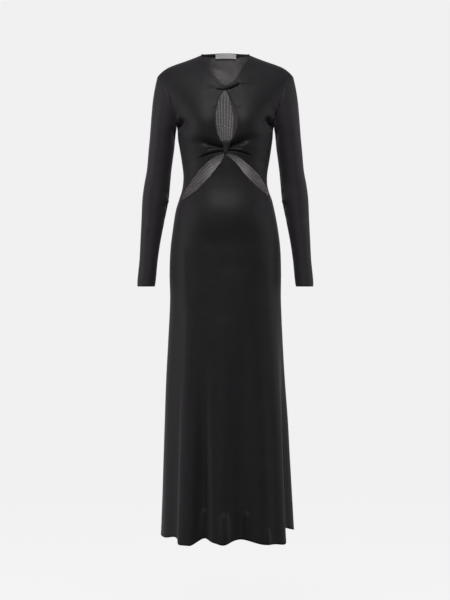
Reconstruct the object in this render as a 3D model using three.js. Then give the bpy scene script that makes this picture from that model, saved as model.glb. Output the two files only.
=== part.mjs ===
// A black jersey maxi dress with long fitted sleeves, a twisted V neck, a keyhole below it, a gathered
// under-bust held by a small loop, and two curved waist cut-outs. It keeps the hollow form it has when worn.
// Millimetres, +Z up. The front faces -Y, and left and right are as seen from the front.
// The origin lies midway between the two points where the shoulder seams meet the neck.
import * as THREE from 'three';

// Driving sizes
const WALL = 1.8;              // cloth wall
const SEAM_GAP = 0.4;          // space between two pieces at a seam
const HALF_SEAM = SEAM_GAP / 2;
const HEM_DOWN = 1411;         // side neck point to hem
const NECK_HALF = 74.5;        // half of the neck's width
const SHOULDER_HALF = 199.5;   // centre to shoulder tip
const SHOULDER_DROP = 60;      // side neck point down to the shoulder tip
const ARMPIT_HALF = 142.6;
const ARMPIT_DOWN = 212;
const WAIST_POINT_HALF = 133.5; // where the cut-outs end at the side seams
const WAIST_POINT_DOWN = 428;
const WAIST_POINT_GAP = 0.7;   // bodice to skirt along the side seam, where both end in a narrow point
const BACK_NECK_RISE = 17;     // the back neck edge stands this much above the side neck points
const LAID_ON = 0.42;          // space between a panel and what lies on it
const BINDING = { tall: 8, thick: 1.2, clear: 0.95 };
const LABEL = { tall: 14, thick: 1 };

// Form of the body that the cloth follows. down is measured from the side neck points. left and right are
// half widths, front and back are depths at the centre. Above the armpits the widths are those of the
// shoulders' round ends, which the armholes cut off.
const BODY = [
  { down: -60, left: 258, right: 258, front: 44, back: 62 },
  { down: 0, left: 240, right: 240, front: 62, back: 80 },
  { down: 60, left: 214, right: 214, front: 78, back: 95 },
  { down: 100, left: 198, right: 198, front: 87, back: 103 },
  { down: 150, left: 174, right: 174, front: 94, back: 108 },
  { down: 190, left: 153.5, right: 153.5, front: 96, back: 109 },
  { down: 212, left: 142.8, right: 142.8, front: 96, back: 108 },
  { down: 248, left: 139.5, right: 139, front: 94, back: 104 },
  { down: 277, left: 134.5, right: 135, front: 92, back: 99 },
  { down: 307, left: 129.5, right: 130.5, front: 91, back: 93 },
  { down: 357, left: 123.7, right: 123.2, front: 92, back: 86 },
  { down: 395, left: 127.5, right: 126.5, front: 97, back: 90 },
  { down: 425, left: 136, right: 137, front: 102, back: 98 },
  { down: 454, left: 145.5, right: 144.5, front: 106, back: 108 },
  { down: 513, left: 155, right: 155.5, front: 110, back: 124 },
  { down: 572, left: 162, right: 162.5, front: 111, back: 134 },
  { down: 640, left: 164.5, right: 164.5, front: 112, back: 138 },
  { down: 720, left: 163, right: 164, front: 116, back: 138 },
  { down: 838, left: 168.5, right: 169.5, front: 123, back: 140 },
  { down: 956, left: 174.5, right: 175, front: 130, back: 144 },
  { down: 1074, left: 178, right: 181, front: 136, back: 148 },
  { down: 1192, left: 181, right: 184, front: 142, back: 153 },
  { down: 1310, left: 184, right: 188, front: 147, back: 157 },
  { down: 1420, left: 188, right: 193, front: 151, back: 161 },
];
const PLAN_POWER = 2.4;        // above 2 the level sections are fuller than an ellipse
const CROWN_FRONT = 150;       // height over which the chest rounds up to the shoulder seam
const CROWN_BACK = 130;
const NECK_CROWN_FRONT = { tall: 45, power: 1 }; // how the body goes on above the side neck points
const NECK_CROWN_BACK = { tall: 60, power: 2 };
const BACK_NECK_POWER = 4;     // above 2 the back neck edge is flatter than a parabola
const BUST = { half: 74, down: 222, out: 25, wide: 46, tall: 44 };
const BELLY = { down: 470, out: 5, wide: 75, tall: 75 };

// Shoulder line as seen from the front
const SHOULDER_LINE = [
  { half: NECK_HALF, down: 0 },
  { half: 90, down: 6 },
  { half: 118, down: 16.5 },
  { half: 150, down: 27.5 },
  { half: 170, down: 36 },
  { half: 186, down: 47 },
  { half: SHOULDER_HALF, down: SHOULDER_DROP },
];

// Armhole seam as seen from the front, for the front and the back panels
const ARMHOLE = [
  { down: SHOULDER_DROP, front: SHOULDER_HALF, back: SHOULDER_HALF },
  { down: 84, front: 183, back: 187 },
  { down: 112, front: 169, back: 175 },
  { down: 145, front: 158.5, back: 163 },
  { down: 182, front: 149.5, back: 151.5 },
  { down: ARMPIT_DOWN, front: ARMPIT_HALF, back: ARMPIT_HALF },
];

// Centre edge of each front bodice: V neck, the short join under the twist, keyhole, gathered centre
const NECK_EDGE = [
  { left: NECK_HALF, right: NECK_HALF, down: 0 },
  { left: 48, right: 49, down: 48 },
  { left: 21, right: 27, down: 84 },
  { left: HALF_SEAM, right: HALF_SEAM, down: 103 },
];
const KEYHOLE_TOP = 113;
const KEYHOLE_BOTTOM = 266;
const KEYHOLE_EDGE = [
  { left: HALF_SEAM, right: HALF_SEAM, down: KEYHOLE_TOP },
  { left: 12, right: 9, down: 126 },
  { left: 21.3, right: 20, down: 147 },
  { left: 28.5, right: 34.5, down: 186 },
  { left: 26.5, right: 33, down: 228 },
  { left: 18, right: 22, down: 254 },
  { left: 11.5, right: 12.5, down: 265 },
];
const GATHER_BOTTOM = 294;
const GATHER_EDGE = [
  { left: HALF_SEAM, right: HALF_SEAM, down: KEYHOLE_BOTTOM },
  { left: HALF_SEAM, right: HALF_SEAM, down: GATHER_BOTTOM },
];

// Edges of the curved waist cut-outs: the bodice's lower edge and the skirt's upper edge
const CUT_UPPER = [
  { left: HALF_SEAM, right: HALF_SEAM, downLeft: GATHER_BOTTOM, downRight: GATHER_BOTTOM },
  { left: 32.6, right: 31.7, downLeft: 310, downRight: 306 },
  { left: 53.4, right: 55.7, downLeft: 329, downRight: 326.5 },
  { left: 77, right: 80, downLeft: 357.5, downRight: 349.5 },
  { left: 101, right: 104.4, downLeft: 388.5, downRight: 375.5 },
  { left: 119.5, right: 121, downLeft: 412, downRight: 398 },
  { left: WAIST_POINT_HALF, right: WAIST_POINT_HALF, downLeft: WAIST_POINT_DOWN, downRight: WAIST_POINT_DOWN },
];
const SKIRT_TOP = 303;
const CUT_LOWER = [
  { left: 3.5, right: 3.5, downLeft: SKIRT_TOP, downRight: SKIRT_TOP },
  { left: 12.5, right: 22, downLeft: 325, downRight: 323 },
  { left: 29.7, right: 44, downLeft: 353, downRight: 356 },
  { left: 48.8, right: 63, downLeft: 380.5, downRight: 379 },
  { left: 72.5, right: 89.6, downLeft: 406.5, downRight: 402 },
  { left: 105, right: 118, downLeft: 426, downRight: 419 },
  {
    left: WAIST_POINT_HALF,
    right: WAIST_POINT_HALF,
    downLeft: WAIST_POINT_DOWN + WAIST_POINT_GAP,
    downRight: WAIST_POINT_DOWN + WAIST_POINT_GAP,
  },
];

// Pleats that run out from the gathered centre. turn is the angle above level, in degrees.
const GATHERS = [
  { turn: 21, out: -6.5, wide: 7, near: 20, far: 74 },
  { turn: 8, out: 2.5, wide: 6, near: 20, far: 60 },
  { turn: 0, out: -2.5, wide: 4, near: 20, far: 42 },
  { turn: -8, out: 2.5, wide: 5, near: 20, far: 60 },
  { turn: -17, out: -5.5, wide: 6, near: 20, far: 84 },
];
const GATHER_START = 9;        // the pleats are flat under the loop
const GATHER_FULL = 6;         // a pleat keeps its full depth for this long before it fades
const GATHER_DOWN = 281;

// Folds of the skirt. turn is the angle from the front centre, positive to the right, in degrees.
const FOLDS = [
  { turn: -112, out: 9, wide: 13, from: 860 },
  { turn: -62, out: -5, wide: 9, from: 900 },
  { turn: -39, out: 17, wide: 10, from: 640 },
  { turn: -21, out: -13, wide: 9, from: 760 },
  { turn: -3, out: 11, wide: 9, from: 900 },
  { turn: 16, out: -13, wide: 10, from: 760 },
  { turn: 37, out: 11, wide: 11, from: 820 },
  { turn: 63, out: 12, wide: 8, from: 640 },
  { turn: 86, out: -15, wide: 9, from: 720 },
  { turn: 112, out: 15, wide: 11, from: 720 },
  { turn: 139, out: -12, wide: 11, from: 860 },
  { turn: 163, out: 12, wide: 11, from: 800 },
  { turn: 186, out: -12, wide: 11, from: 880 },
  { turn: 208, out: 13, wide: 11, from: 780 },
  { turn: 229, out: -10, wide: 9, from: 860 },
];
const FOLD_GROWTH = 0.8;       // below 1 a fold opens soon after its start
const HEM_DROP_PER_FOLD = 0.28; // a fold that stands out also hangs lower by this share

// Loop round the gathered centre: half widths along its front, and its back end
const LOOP_FRONT = [
  { down: SKIRT_TOP - SEAM_GAP, half: 3.6, out: 0 },
  { down: 296.5, half: 4, out: WALL + LAID_ON + 0.1 },
  { down: 289, half: 4.6, out: WALL + LAID_ON + 0.2 },
  { down: 281, half: 6, out: WALL + LAID_ON + 0.4 },
  { down: 273, half: 8.6, out: WALL + LAID_ON + 1.4 },
];
const BUNCH = 7.8;             // room inside the loop for the gathered cloth
const LOOP_LIFT = 2.3;         // the loop's top stands this much further out than its lower end
const LOOP_TOP_HALF = 10.5;
const LOOP_BACK_END = { down: 290, half: 7, out: -BUNCH - 1 };
const LOOP_BEND_STEPS = 6;

// Twisted roll that joins the two bodices at the foot of the V
const TWIST = [
  { at: -27, down: 109, tall: 2.5, thick: 1.2 },
  { at: -16, down: 109, tall: 6, thick: 3.4 },
  { at: -4, down: 108, tall: 9.5, thick: 5.5 },
  { at: 8, down: 105.5, tall: 10.5, thick: 6 },
  { at: 20, down: 101, tall: 10, thick: 5.2 },
  { at: 30, down: 97, tall: 7, thick: 3.8 },
  { at: 40, down: 93, tall: 2.5, thick: 1.2 },
];
const TWIST_STEPS = { along: 12, across: 6 };
const TWIST_EDGE = 0.8;

// Turned-back strip behind the keyhole's right edge. free is how far its free edge shows past that edge.
const FACING = [
  { down: 140, free: 2.5 },
  { down: 165, free: 9.5 },
  { down: 196, free: 13.8 },
  { down: 230, free: 12 },
  { down: 251, free: 5 },
];
const FACING_BEHIND = 0.55;    // it reaches this share of a column behind the bodice
const FACING_SINK = 5;         // its free edge curls this far inward
const FACING_MIDDLE = { at: 0.5, sink: 0.3 }; // and halfway there by this share of that

// Sleeve rings. Each runs from an outer point to an inner point, with a half depth and a centre in y.
const SLEEVE = [
  { out: SHOULDER_HALF, outDown: SHOULDER_DROP, inn: ARMPIT_HALF, innDown: ARMPIT_DOWN, deep: 45, at: 3 },
  { out: 204, outDown: 79, inn: 143.2, innDown: 214.5, deep: 46, at: 3 },
  { out: 209, outDown: 103, inn: 143.8, innDown: 217.5, deep: 47, at: 4 },
  { out: 214, outDown: 136, inn: 144.6, innDown: 221, deep: 47.5, at: 4 },
  { out: 217.7, outDown: 175, inn: 145.4, innDown: 226, deep: 47.5, at: 5 },
  { out: 220.5, outDown: 212, inn: 146.2, innDown: 232, deep: 47, at: 5 },
  { out: 223, outDown: 244, inn: 147.5, innDown: 244, deep: 46.5, at: 6 },
  { out: 226.2, outDown: 277, inn: 150.8, innDown: 277, deep: 45.5, at: 6 },
  { out: 231.4, outDown: 336, inn: 158.6, innDown: 336, deep: 43, at: 6 },
  { out: 239.3, outDown: 381, inn: 162.7, innDown: 381, deep: 41.5, at: 4 },
  { out: 244.5, outDown: 425, inn: 166.9, innDown: 425, deep: 40.5, at: 0 },
  { out: 246.5, outDown: 484, inn: 177.9, innDown: 484, deep: 36, at: -8 },
  { out: 248.9, outDown: 543, inn: 189.1, innDown: 543, deep: 32, at: -17 },
  { out: 251.3, outDown: 602, inn: 197.5, innDown: 602, deep: 29.5, at: -26 },
  { out: 256.5, outDown: 661, inn: 202.7, innDown: 661, deep: 28, at: -35 },
  { out: 256, outDown: 680, inn: 206, innDown: 680, deep: 27.5, at: -38 },
];

// How finely each piece is divided
const BODICE_STEPS = { across: 11, neck: 6, join: 1, keyhole: 7, floor: 1, gather: 2, armhole: 8, side: 9 };
const BACK_STEPS = { shoulder: 6, neck: 10, armhole: 8, side: 24 };
const SKIRT_STEPS = { across: 26, down: 20 };
const LABEL_STEPS = { down: 2 };
const LABEL_COLUMNS = [-1.34, -1, -0.5, 0, 0.5, 1, 1.48]; // in columns of the back panel from the middle
const SLEEVE_STEPS = { around: 16, capRows: 6, rows: 15 };
const TOP_CROWDING = 1.25;     // rows lie closer together near the shoulder seams

const CLOTH = { color: 0x2a292b, roughness: 0.62, metalness: 0 };
const LABEL_CLOTH = { color: 0xf2f1ef, roughness: 0.8, metalness: 0 };

// Value of one column at a place along a table, by a smooth curve through the rows
function column(table, place, key, value) {
  const rows = table.length;
  let i = 0;
  while (i < rows - 2 && place > table[i + 1][key]) i += 1;
  const slope = (k) => {
    const lo = Math.max(k - 1, 0);
    const hi = Math.min(k + 1, rows - 1);
    return (table[hi][value] - table[lo][value]) / (table[hi][key] - table[lo][key]);
  };
  const a = table[i];
  const b = table[i + 1];
  const span = b[key] - a[key];
  const t = THREE.MathUtils.clamp((place - a[key]) / span, 0, 1);
  const t2 = t * t;
  const t3 = t2 * t;
  return (2 * t3 - 3 * t2 + 1) * a[value] + (t3 - 2 * t2 + t) * span * slope(i)
    + (3 * t2 - 2 * t3) * b[value] + (t3 - t2) * span * slope(i + 1);
}

const bell = (distance, width) => Math.exp(-0.5 * (distance / width) ** 2);
const easeIn = (place, from, to) => THREE.MathUtils.smoothstep(place, from, to);
const radians = THREE.MathUtils.degToRad;

// Height of the shoulder line over a point that lies half from the centre
function shoulderDown(half, { tall, power }) {
  if (half >= NECK_HALF) return column(SHOULDER_LINE, Math.min(half, SHOULDER_HALF), 'half', 'down');
  return -tall * (1 - (half / NECK_HALF) ** power) ** (1 / power);
}

// Outward push of the skirt's folds at an angle round the body and a height
function foldOut(turn, down) {
  let out = 0;
  for (const fold of FOLDS) {
    const away = Math.abs(turn - fold.turn) % 360;
    const nearest = Math.min(away, 360 - away);
    out += fold.out * bell(nearest, fold.wide) * easeIn(down, fold.from, HEM_DOWN) ** FOLD_GROWTH;
  }
  return out;
}

// Outward push of the pleats beside the gathered centre
function gatherOut(x, down) {
  const reach = Math.hypot(x, down - GATHER_DOWN);
  const turn = THREE.MathUtils.radToDeg(Math.atan2(GATHER_DOWN - down, Math.abs(x)));
  let out = 0;
  for (const pleat of GATHERS) {
    const fade = easeIn(reach, GATHER_START, pleat.near) * (1 - easeIn(reach, pleat.near + GATHER_FULL, pleat.far));
    out += pleat.out * fade * bell(turn - pleat.turn, pleat.wide);
  }
  return out;
}

// Point of the outer cloth face. angle runs from -90 at the left side seam to 90 at the right one.
function bodyPoint(isFront, angle, down) {
  const s = Math.sin(radians(angle));
  const width = column(BODY, down, 'down', angle < 0 ? 'left' : 'right');
  const depth = column(BODY, down, 'down', isFront ? 'front' : 'back');
  const x = width * s;
  const plan = Math.sqrt(Math.max(0, 1 - Math.abs(s) ** PLAN_POWER));
  const crown = isFront ? CROWN_FRONT : CROWN_BACK;
  const top = shoulderDown(Math.abs(x), isFront ? NECK_CROWN_FRONT : NECK_CROWN_BACK);
  const rise = THREE.MathUtils.clamp((down - top) / crown, 0, 1);
  let y = depth * plan * Math.sqrt(1 - (1 - rise) ** 2);
  if (isFront) {
    const bust = bell(Math.abs(x) - BUST.half, BUST.wide) * bell(down - BUST.down, BUST.tall);
    const belly = bell(x, BELLY.wide) * bell(down - BELLY.down, BELLY.tall);
    y += (BUST.out * bust + BELLY.out * belly) * plan;
  }
  const turn = isFront ? angle : 180 - angle;
  const fold = foldOut(turn, down);
  const flat = new THREE.Vector2(x, isFront ? -y : y);
  flat.addScaledVector(flat.clone().normalize(), fold);
  if (isFront) flat.y -= gatherOut(x, down);
  const sideShift = isFront ? -HALF_SEAM : HALF_SEAM;
  return new THREE.Vector3(flat.x, flat.y + sideShift, -down - HEM_DROP_PER_FOLD * fold);
}

// Angle that puts a point of the cloth at a given x
function angleAt(x, down) {
  const width = column(BODY, down, 'down', x < 0 ? 'left' : 'right');
  return THREE.MathUtils.radToDeg(Math.asin(THREE.MathUtils.clamp(x / width, -1, 1)));
}

// Evenly spaced points along a smooth line through the given ones
function spread(points, steps, crowding = 1) {
  const line = new THREE.CatmullRomCurve3(points.map(([x, down]) => new THREE.Vector3(x, down, 0)), false, 'centripetal');
  const out = [];
  for (let i = 0; i <= steps; i += 1) {
    const p = line.getPointAt((i / steps) ** crowding);
    out.push([p.x, p.y]);
  }
  return out;
}

// Joins stretches of edge that share their end points
const chain = (...stretches) => stretches.reduce((all, next) => all.concat(all.length ? next.slice(1) : next), []);

// Fills a four-sided patch from its edges, in angle and height, and puts it on the body
function patch(isFront, top, bottom, first, last) {
  const edge = (points) => points.map(([x, down]) => [angleAt(x, down), down]);
  const [t, b, l, r] = [top, bottom, first, last].map(edge);
  const across = t.length - 1;
  const rows = l.length - 1;
  const grid = [];
  for (let j = 0; j <= rows; j += 1) {
    const v = j / rows;
    const row = [];
    for (let i = 0; i <= across; i += 1) {
      const u = i / across;
      const mix = (k) => (1 - v) * t[i][k] + v * b[i][k] + (1 - u) * l[j][k] + u * r[j][k]
        - (1 - u) * ((1 - v) * t[0][k] + v * b[0][k]) - u * ((1 - v) * t[across][k] + v * b[across][k]);
      row.push(bodyPoint(isFront, mix(0), mix(1)));
    }
    grid.push(row);
  }
  return grid;
}

// Direction square to a grid of points. Where seam(i, j) names an axis, the point lies on a seam in the
// plane square to that axis, so its direction stays in that plane.
function gridNormals(grid, closed, seam) {
  const rows = grid.length;
  const cols = grid[0].length;
  return grid.map((row, j) => row.map((_, i) => {
    const before = closed ? (i + cols - 1) % cols : Math.max(i - 1, 0);
    const after = closed ? (i + 1) % cols : Math.min(i + 1, cols - 1);
    const across = row[after].clone().sub(row[before]);
    const down = grid[Math.min(j + 1, rows - 1)][i].clone().sub(grid[Math.max(j - 1, 0)][i]);
    const normal = across.cross(down);
    const axis = seam ? seam(i, j) : null;
    if (axis) normal[axis] = 0;
    return normal.normalize();
  }));
}

// Grid moved along its normals by a distance, or by a distance for each point
function moved(grid, normals, distance) {
  const by = typeof distance === 'function' ? distance : () => distance;
  return grid.map((row, j) => row.map((p, i) => p.clone().addScaledVector(normals[j][i], by(j, i))));
}

// Closed wall between a grid of outer points and the same grid moved inward
function wall(outer, normals, thick, closed) {
  return between(outer, moved(outer, normals, -thick), closed);
}

// Closed solid between two grids of points
function between(outer, inner, closed) {
  const rows = outer.length;
  const cols = outer[0].length;
  const positions = [];
  for (const grid of [outer, inner]) for (const row of grid) for (const p of row) positions.push(p.x, p.y, p.z);
  const at = (side, j, i) => side * rows * cols + j * cols + (i % cols);
  const index = [];
  const quad = (a, b, c, d) => index.push(a, b, c, a, c, d);
  const spans = closed ? cols : cols - 1;
  for (let j = 0; j < rows - 1; j += 1) {
    for (let i = 0; i < spans; i += 1) {
      quad(at(0, j, i), at(0, j + 1, i), at(0, j + 1, i + 1), at(0, j, i + 1));
      quad(at(1, j, i), at(1, j, i + 1), at(1, j + 1, i + 1), at(1, j + 1, i));
    }
    if (!closed) {
      quad(at(0, j, 0), at(1, j, 0), at(1, j + 1, 0), at(0, j + 1, 0));
      quad(at(0, j, cols - 1), at(0, j + 1, cols - 1), at(1, j + 1, cols - 1), at(1, j, cols - 1));
    }
  }
  for (let i = 0; i < spans; i += 1) {
    quad(at(0, 0, i), at(0, 0, i + 1), at(1, 0, i + 1), at(1, 0, i));
    quad(at(0, rows - 1, i), at(1, rows - 1, i), at(1, rows - 1, i + 1), at(0, rows - 1, i + 1));
  }
  return facingOut(positions, index);
}

// Geometry from points and triangles, turned so that every face points out
function facingOut(positions, index) {
  let volume = 0;
  const corner = (k) => new THREE.Vector3().fromArray(positions, index[k] * 3);
  for (let k = 0; k < index.length; k += 3) volume += corner(k).dot(corner(k + 1).cross(corner(k + 2)));
  if (volume < 0) for (let k = 0; k < index.length; k += 3) [index[k], index[k + 1]] = [index[k + 1], index[k]];
  const geometry = new THREE.BufferGeometry();
  geometry.setAttribute('position', new THREE.Float32BufferAttribute(positions, 3));
  geometry.setIndex(index);
  geometry.computeVertexNormals();
  return geometry;
}

const dress = new THREE.Group();

function add(name, geometry, look) {
  const mesh = new THREE.Mesh(geometry, new THREE.MeshStandardMaterial(look));
  mesh.name = name;
  dress.add(mesh);
}

// Normals of a front or back panel's grid, all facing out of the dress
function panelNormals(grid, isFront, seam) {
  const normals = gridNormals(grid, false, seam);
  const sign = isFront ? -1 : 1;
  const probe = normals[1][Math.floor(grid[0].length / 2)];
  if (Math.sign(probe.y) !== sign) for (const row of normals) for (const n of row) n.negate();
  return normals;
}

const panelWall = (grid, isFront, seam) => wall(grid, panelNormals(grid, isFront, seam), WALL, false);

// Points of one side's column in a table, negative on the left
function signed(table, side, value, downKey) {
  const sign = side === 'left' ? -1 : 1;
  return table.map((row) => [sign * row[value], row[downKey]]);
}

function armhole(side, panel) {
  const sign = side === 'left' ? -1 : 1;
  return spread(ARMHOLE.map((row) => [sign * row[panel], row.down]), BODICE_STEPS.armhole, TOP_CROWDING);
}

// Side seam between two heights, as points at the body's own width
function sideSeam(side, from, to, steps) {
  const sign = side === 'left' ? -1 : 1;
  const points = [];
  for (let i = 0; i <= steps; i += 1) {
    const down = from + (to - from) * (i / steps);
    points.push([sign * column(BODY, down, 'down', side), down]);
  }
  return points;
}

// Front bodices: shoulder seam, armhole, side seam, cut-out edge and centre edge
function frontBodice(side) {
  const [neckEdge, keyholeEdge, gatherEdge] = [NECK_EDGE, KEYHOLE_EDGE, GATHER_EDGE]
    .map((table) => signed(table, side, side, 'down'));
  const centre = chain(
    spread(neckEdge, BODICE_STEPS.neck, TOP_CROWDING),
    spread([neckEdge.at(-1), keyholeEdge[0]], BODICE_STEPS.join),
    spread(keyholeEdge, BODICE_STEPS.keyhole),
    spread([keyholeEdge.at(-1), gatherEdge[0]], BODICE_STEPS.floor),
    spread(gatherEdge, BODICE_STEPS.gather),
  );
  const outside = chain(armhole(side, 'front'), sideSeam(side, ARMPIT_DOWN, WAIST_POINT_DOWN, BODICE_STEPS.side));
  const shoulder = spread(signed(SHOULDER_LINE, side, 'half', 'down'), BODICE_STEPS.across);
  const downKey = side === 'left' ? 'downLeft' : 'downRight';
  const cut = spread(signed(CUT_UPPER, side, side, downKey), BODICE_STEPS.across);
  const grid = patch(true, shoulder, cut, centre, outside);
  const { across, neck, join, keyhole, floor, armhole: armholeRows } = BODICE_STEPS;
  const joined = (j) => (j >= neck && j <= neck + join) || j >= neck + join + keyhole + floor;
  const seam = (i, j) => {
    if (j === 0 || (i === across && j >= armholeRows)) return 'y';
    return i === 0 && joined(j) ? 'x' : null;
  };
  return { grid, normals: panelNormals(grid, true, seam) };
}

const bodices = { left: frontBodice('left'), right: frontBodice('right') };
for (const side of ['left', 'right']) {
  add(`bodice_front_${side}`, wall(bodices[side].grid, bodices[side].normals, WALL, false), CLOTH);
}

// Front skirt: its top follows the cut-outs up to a point under the loop
function frontSkirt() {
  const half = SKIRT_STEPS.across / 2;
  const leftTop = spread(signed(CUT_LOWER, 'left', 'left', 'downLeft'), half).reverse();
  const rightTop = spread(signed(CUT_LOWER, 'right', 'right', 'downRight'), half);
  const middle = [0, SKIRT_TOP];
  const top = [...leftTop.slice(0, -1), middle, ...rightTop.slice(1)];
  const first = sideSeam('left', leftTop[0][1], HEM_DOWN, SKIRT_STEPS.down);
  const last = sideSeam('right', leftTop[0][1], HEM_DOWN, SKIRT_STEPS.down);
  const bottom = [];
  for (let i = 0; i <= SKIRT_STEPS.across; i += 1) {
    const angle = -90 + 180 * (i / SKIRT_STEPS.across);
    const width = column(BODY, HEM_DOWN, 'down', angle < 0 ? 'left' : 'right');
    bottom.push([width * Math.sin(radians(angle)), HEM_DOWN]);
  }
  const grid = patch(true, top, bottom, first, last);
  return panelWall(grid, true, (i) => (i === 0 || i === SKIRT_STEPS.across ? 'y' : null));
}

add('skirt_front', frontSkirt(), CLOTH);

// Point of the front's outer face at a given x
const frontAt = (x, down) => bodyPoint(true, angleAt(x, down), down);

// Loop: up the front of the gathers, over their top edge and down behind them
function centreLoop() {
  const radius = BUNCH / 2 + WALL;
  const rows = LOOP_FRONT.map(({ down, half, out }) => ({ down, half, out, over: 0 }));
  for (let i = 0; i <= LOOP_BEND_STEPS; i += 1) {
    const turn = Math.PI * (i / LOOP_BEND_STEPS);
    const out = LAID_ON + LOOP_LIFT - BUNCH / 2 + radius * Math.cos(turn);
    rows.push({ down: KEYHOLE_BOTTOM, half: LOOP_TOP_HALF, out, over: radius * Math.sin(turn) });
  }
  rows.push({ ...LOOP_BACK_END, over: 0 });
  const grid = rows.map(({ down, half, out, over }) => {
    const middle = frontAt(0, down);
    return [-1, -0.5, 0, 0.5, 1].map((k) => new THREE.Vector3(k * half, middle.y - out, middle.z + over));
  });
  return panelWall(grid, true, null);
}

add('centre_loop', centreLoop(), CLOTH);

// Twist: a soft roll laid on the front across the foot of the V
function neckTwist() {
  const grid = [];
  for (let j = 0; j <= TWIST_STEPS.across; j += 1) {
    const across = j / TWIST_STEPS.across - 0.5;
    const row = [];
    for (let i = 0; i <= TWIST_STEPS.along; i += 1) {
      const x = TWIST[0].at + (TWIST.at(-1).at - TWIST[0].at) * (i / TWIST_STEPS.along);
      row.push(frontAt(x, column(TWIST, x, 'at', 'down') + across * column(TWIST, x, 'at', 'tall')));
    }
    grid.push(row);
  }
  const normals = panelNormals(grid, true, null);
  const height = (j, i) => {
    const across = 2 * (j / TWIST_STEPS.across) - 1;
    const x = TWIST[0].at + (TWIST.at(-1).at - TWIST[0].at) * (i / TWIST_STEPS.along);
    return LAID_ON + TWIST_EDGE + column(TWIST, x, 'at', 'thick') * Math.sqrt(1 - across ** 2);
  };
  return between(moved(grid, normals, height), moved(grid, normals, LAID_ON), false);
}

add('neck_twist', neckTwist(), CLOTH);

// Facing: a strip behind the keyhole's right edge, its free edge curled inward. Each of its rows lies on
// a row of the bodice's points.
function keyholeFacing() {
  const { grid: panel, normals } = bodices.right;
  const { neck, join, keyhole } = BODICE_STEPS;
  const widest = Math.max(...FACING.map((row) => row.free));
  const grid = [];
  for (let j = neck + join + 1; j < neck + join + keyhole; j += 1) {
    const [edge, next] = panel[j];
    const normal = normals[j][0];
    const inside = (point, depth) => point.clone().addScaledVector(normal, -(WALL + LAID_ON + depth));
    const free = column(FACING, -edge.z, 'down', 'free');
    const away = edge.clone().sub(next).normalize();
    const sink = FACING_SINK * (free / widest);
    const tip = edge.clone().addScaledVector(away, free);
    grid.push([
      inside(tip, sink),
      inside(edge.clone().lerp(tip, FACING_MIDDLE.at), sink * FACING_MIDDLE.sink),
      inside(edge, 0),
      inside(edge.clone().lerp(next, FACING_BEHIND), FACING_BEHIND),
    ]);
  }
  return panelWall(grid, true, null);
}

add('keyhole_facing', keyholeFacing(), CLOTH);

// Back: one panel from the neck and shoulders to the hem
function backPanel() {
  const neck = [];
  for (let i = 0; i <= BACK_STEPS.neck; i += 1) {
    const angle = -90 + 180 * (i / BACK_STEPS.neck);
    const x = NECK_HALF * Math.sin(radians(angle));
    neck.push([x, -BACK_NECK_RISE * (1 - Math.abs(x / NECK_HALF) ** BACK_NECK_POWER)]);
  }
  const leftShoulder = spread(signed(SHOULDER_LINE, 'left', 'half', 'down'), BACK_STEPS.shoulder).reverse();
  const rightShoulder = spread(signed(SHOULDER_LINE, 'right', 'half', 'down'), BACK_STEPS.shoulder);
  const top = chain(leftShoulder, neck, rightShoulder);
  const first = chain(armhole('left', 'back'), sideSeam('left', ARMPIT_DOWN, HEM_DOWN, BACK_STEPS.side));
  const last = chain(armhole('right', 'back'), sideSeam('right', ARMPIT_DOWN, HEM_DOWN, BACK_STEPS.side));
  const across = top.length - 1;
  const bottom = [];
  for (let i = 0; i <= across; i += 1) {
    const angle = -90 + 180 * (i / across);
    const width = column(BODY, HEM_DOWN, 'down', angle < 0 ? 'left' : 'right');
    bottom.push([width * Math.sin(radians(angle)), HEM_DOWN]);
  }
  const grid = patch(false, top, bottom, first, last);
  const { shoulder, armhole: armholeRows } = BACK_STEPS;
  const seam = (i, j) => {
    const onShoulder = j === 0 && (i <= shoulder || i >= across - shoulder);
    const onSide = (i === 0 || i === across) && j >= armholeRows;
    return onShoulder || onSide ? 'y' : null;
  };
  return { grid, normals: panelNormals(grid, false, seam) };
}

const back = backPanel();
add('back_panel', wall(back.grid, back.normals, WALL, false), CLOTH);

// Point near the back neck: a column of the back panel, a distance below its edge and a distance out of it
function nearNeck(columnAt, below, out) {
  const lower = Math.floor(columnAt);
  const pair = [lower, Math.min(lower + 1, back.grid[0].length - 1)].map((i) => {
    let j = 0;
    let left = below;
    let step = back.grid[1][i].distanceTo(back.grid[0][i]);
    while (left > step) {
      left -= step;
      j += 1;
      step = back.grid[j + 1][i].distanceTo(back.grid[j][i]);
    }
    const point = back.grid[j][i].clone().lerp(back.grid[j + 1][i], left / step);
    const normal = back.normals[j][i].clone().lerp(back.normals[j + 1][i], Math.max(left, 0) / step);
    return point.addScaledVector(normal.normalize(), out);
  });
  return pair[0].lerp(pair[1], columnAt - lower);
}

// Binding: a folded strip over the back neck edge
function neckBinding() {
  const { tall, thick, clear } = BINDING;
  const over = clear + thick;
  const section = [
    [over, tall], [over, -over], [-WALL - over, -over], [-WALL - over, tall],
    [-WALL - clear, tall], [-WALL - clear, -clear], [clear, -clear], [clear, tall],
  ];
  const positions = [];
  const index = [];
  const steps = BACK_STEPS.neck - 2;
  for (let i = 0; i <= steps; i += 1) {
    for (const [out, below] of section) positions.push(...nearNeck(BACK_STEPS.shoulder + 1 + i, below, out));
  }
  const n = section.length;
  for (let i = 0; i < steps; i += 1) {
    for (let k = 0; k < n; k += 1) {
      const a = i * n + k;
      const b = i * n + ((k + 1) % n);
      index.push(a, b, b + n, a, b + n, a + n);
    }
  }
  const cap = THREE.ShapeUtils.triangulateShape(section.map(([out, below]) => new THREE.Vector2(out, -below)), []);
  const last = steps * n;
  for (const [a, b, c] of cap) index.push(a, c, b, last + a, last + b, last + c);
  return facingOut(positions, index);
}

add('back_neck_binding', neckBinding(), CLOTH);

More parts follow.
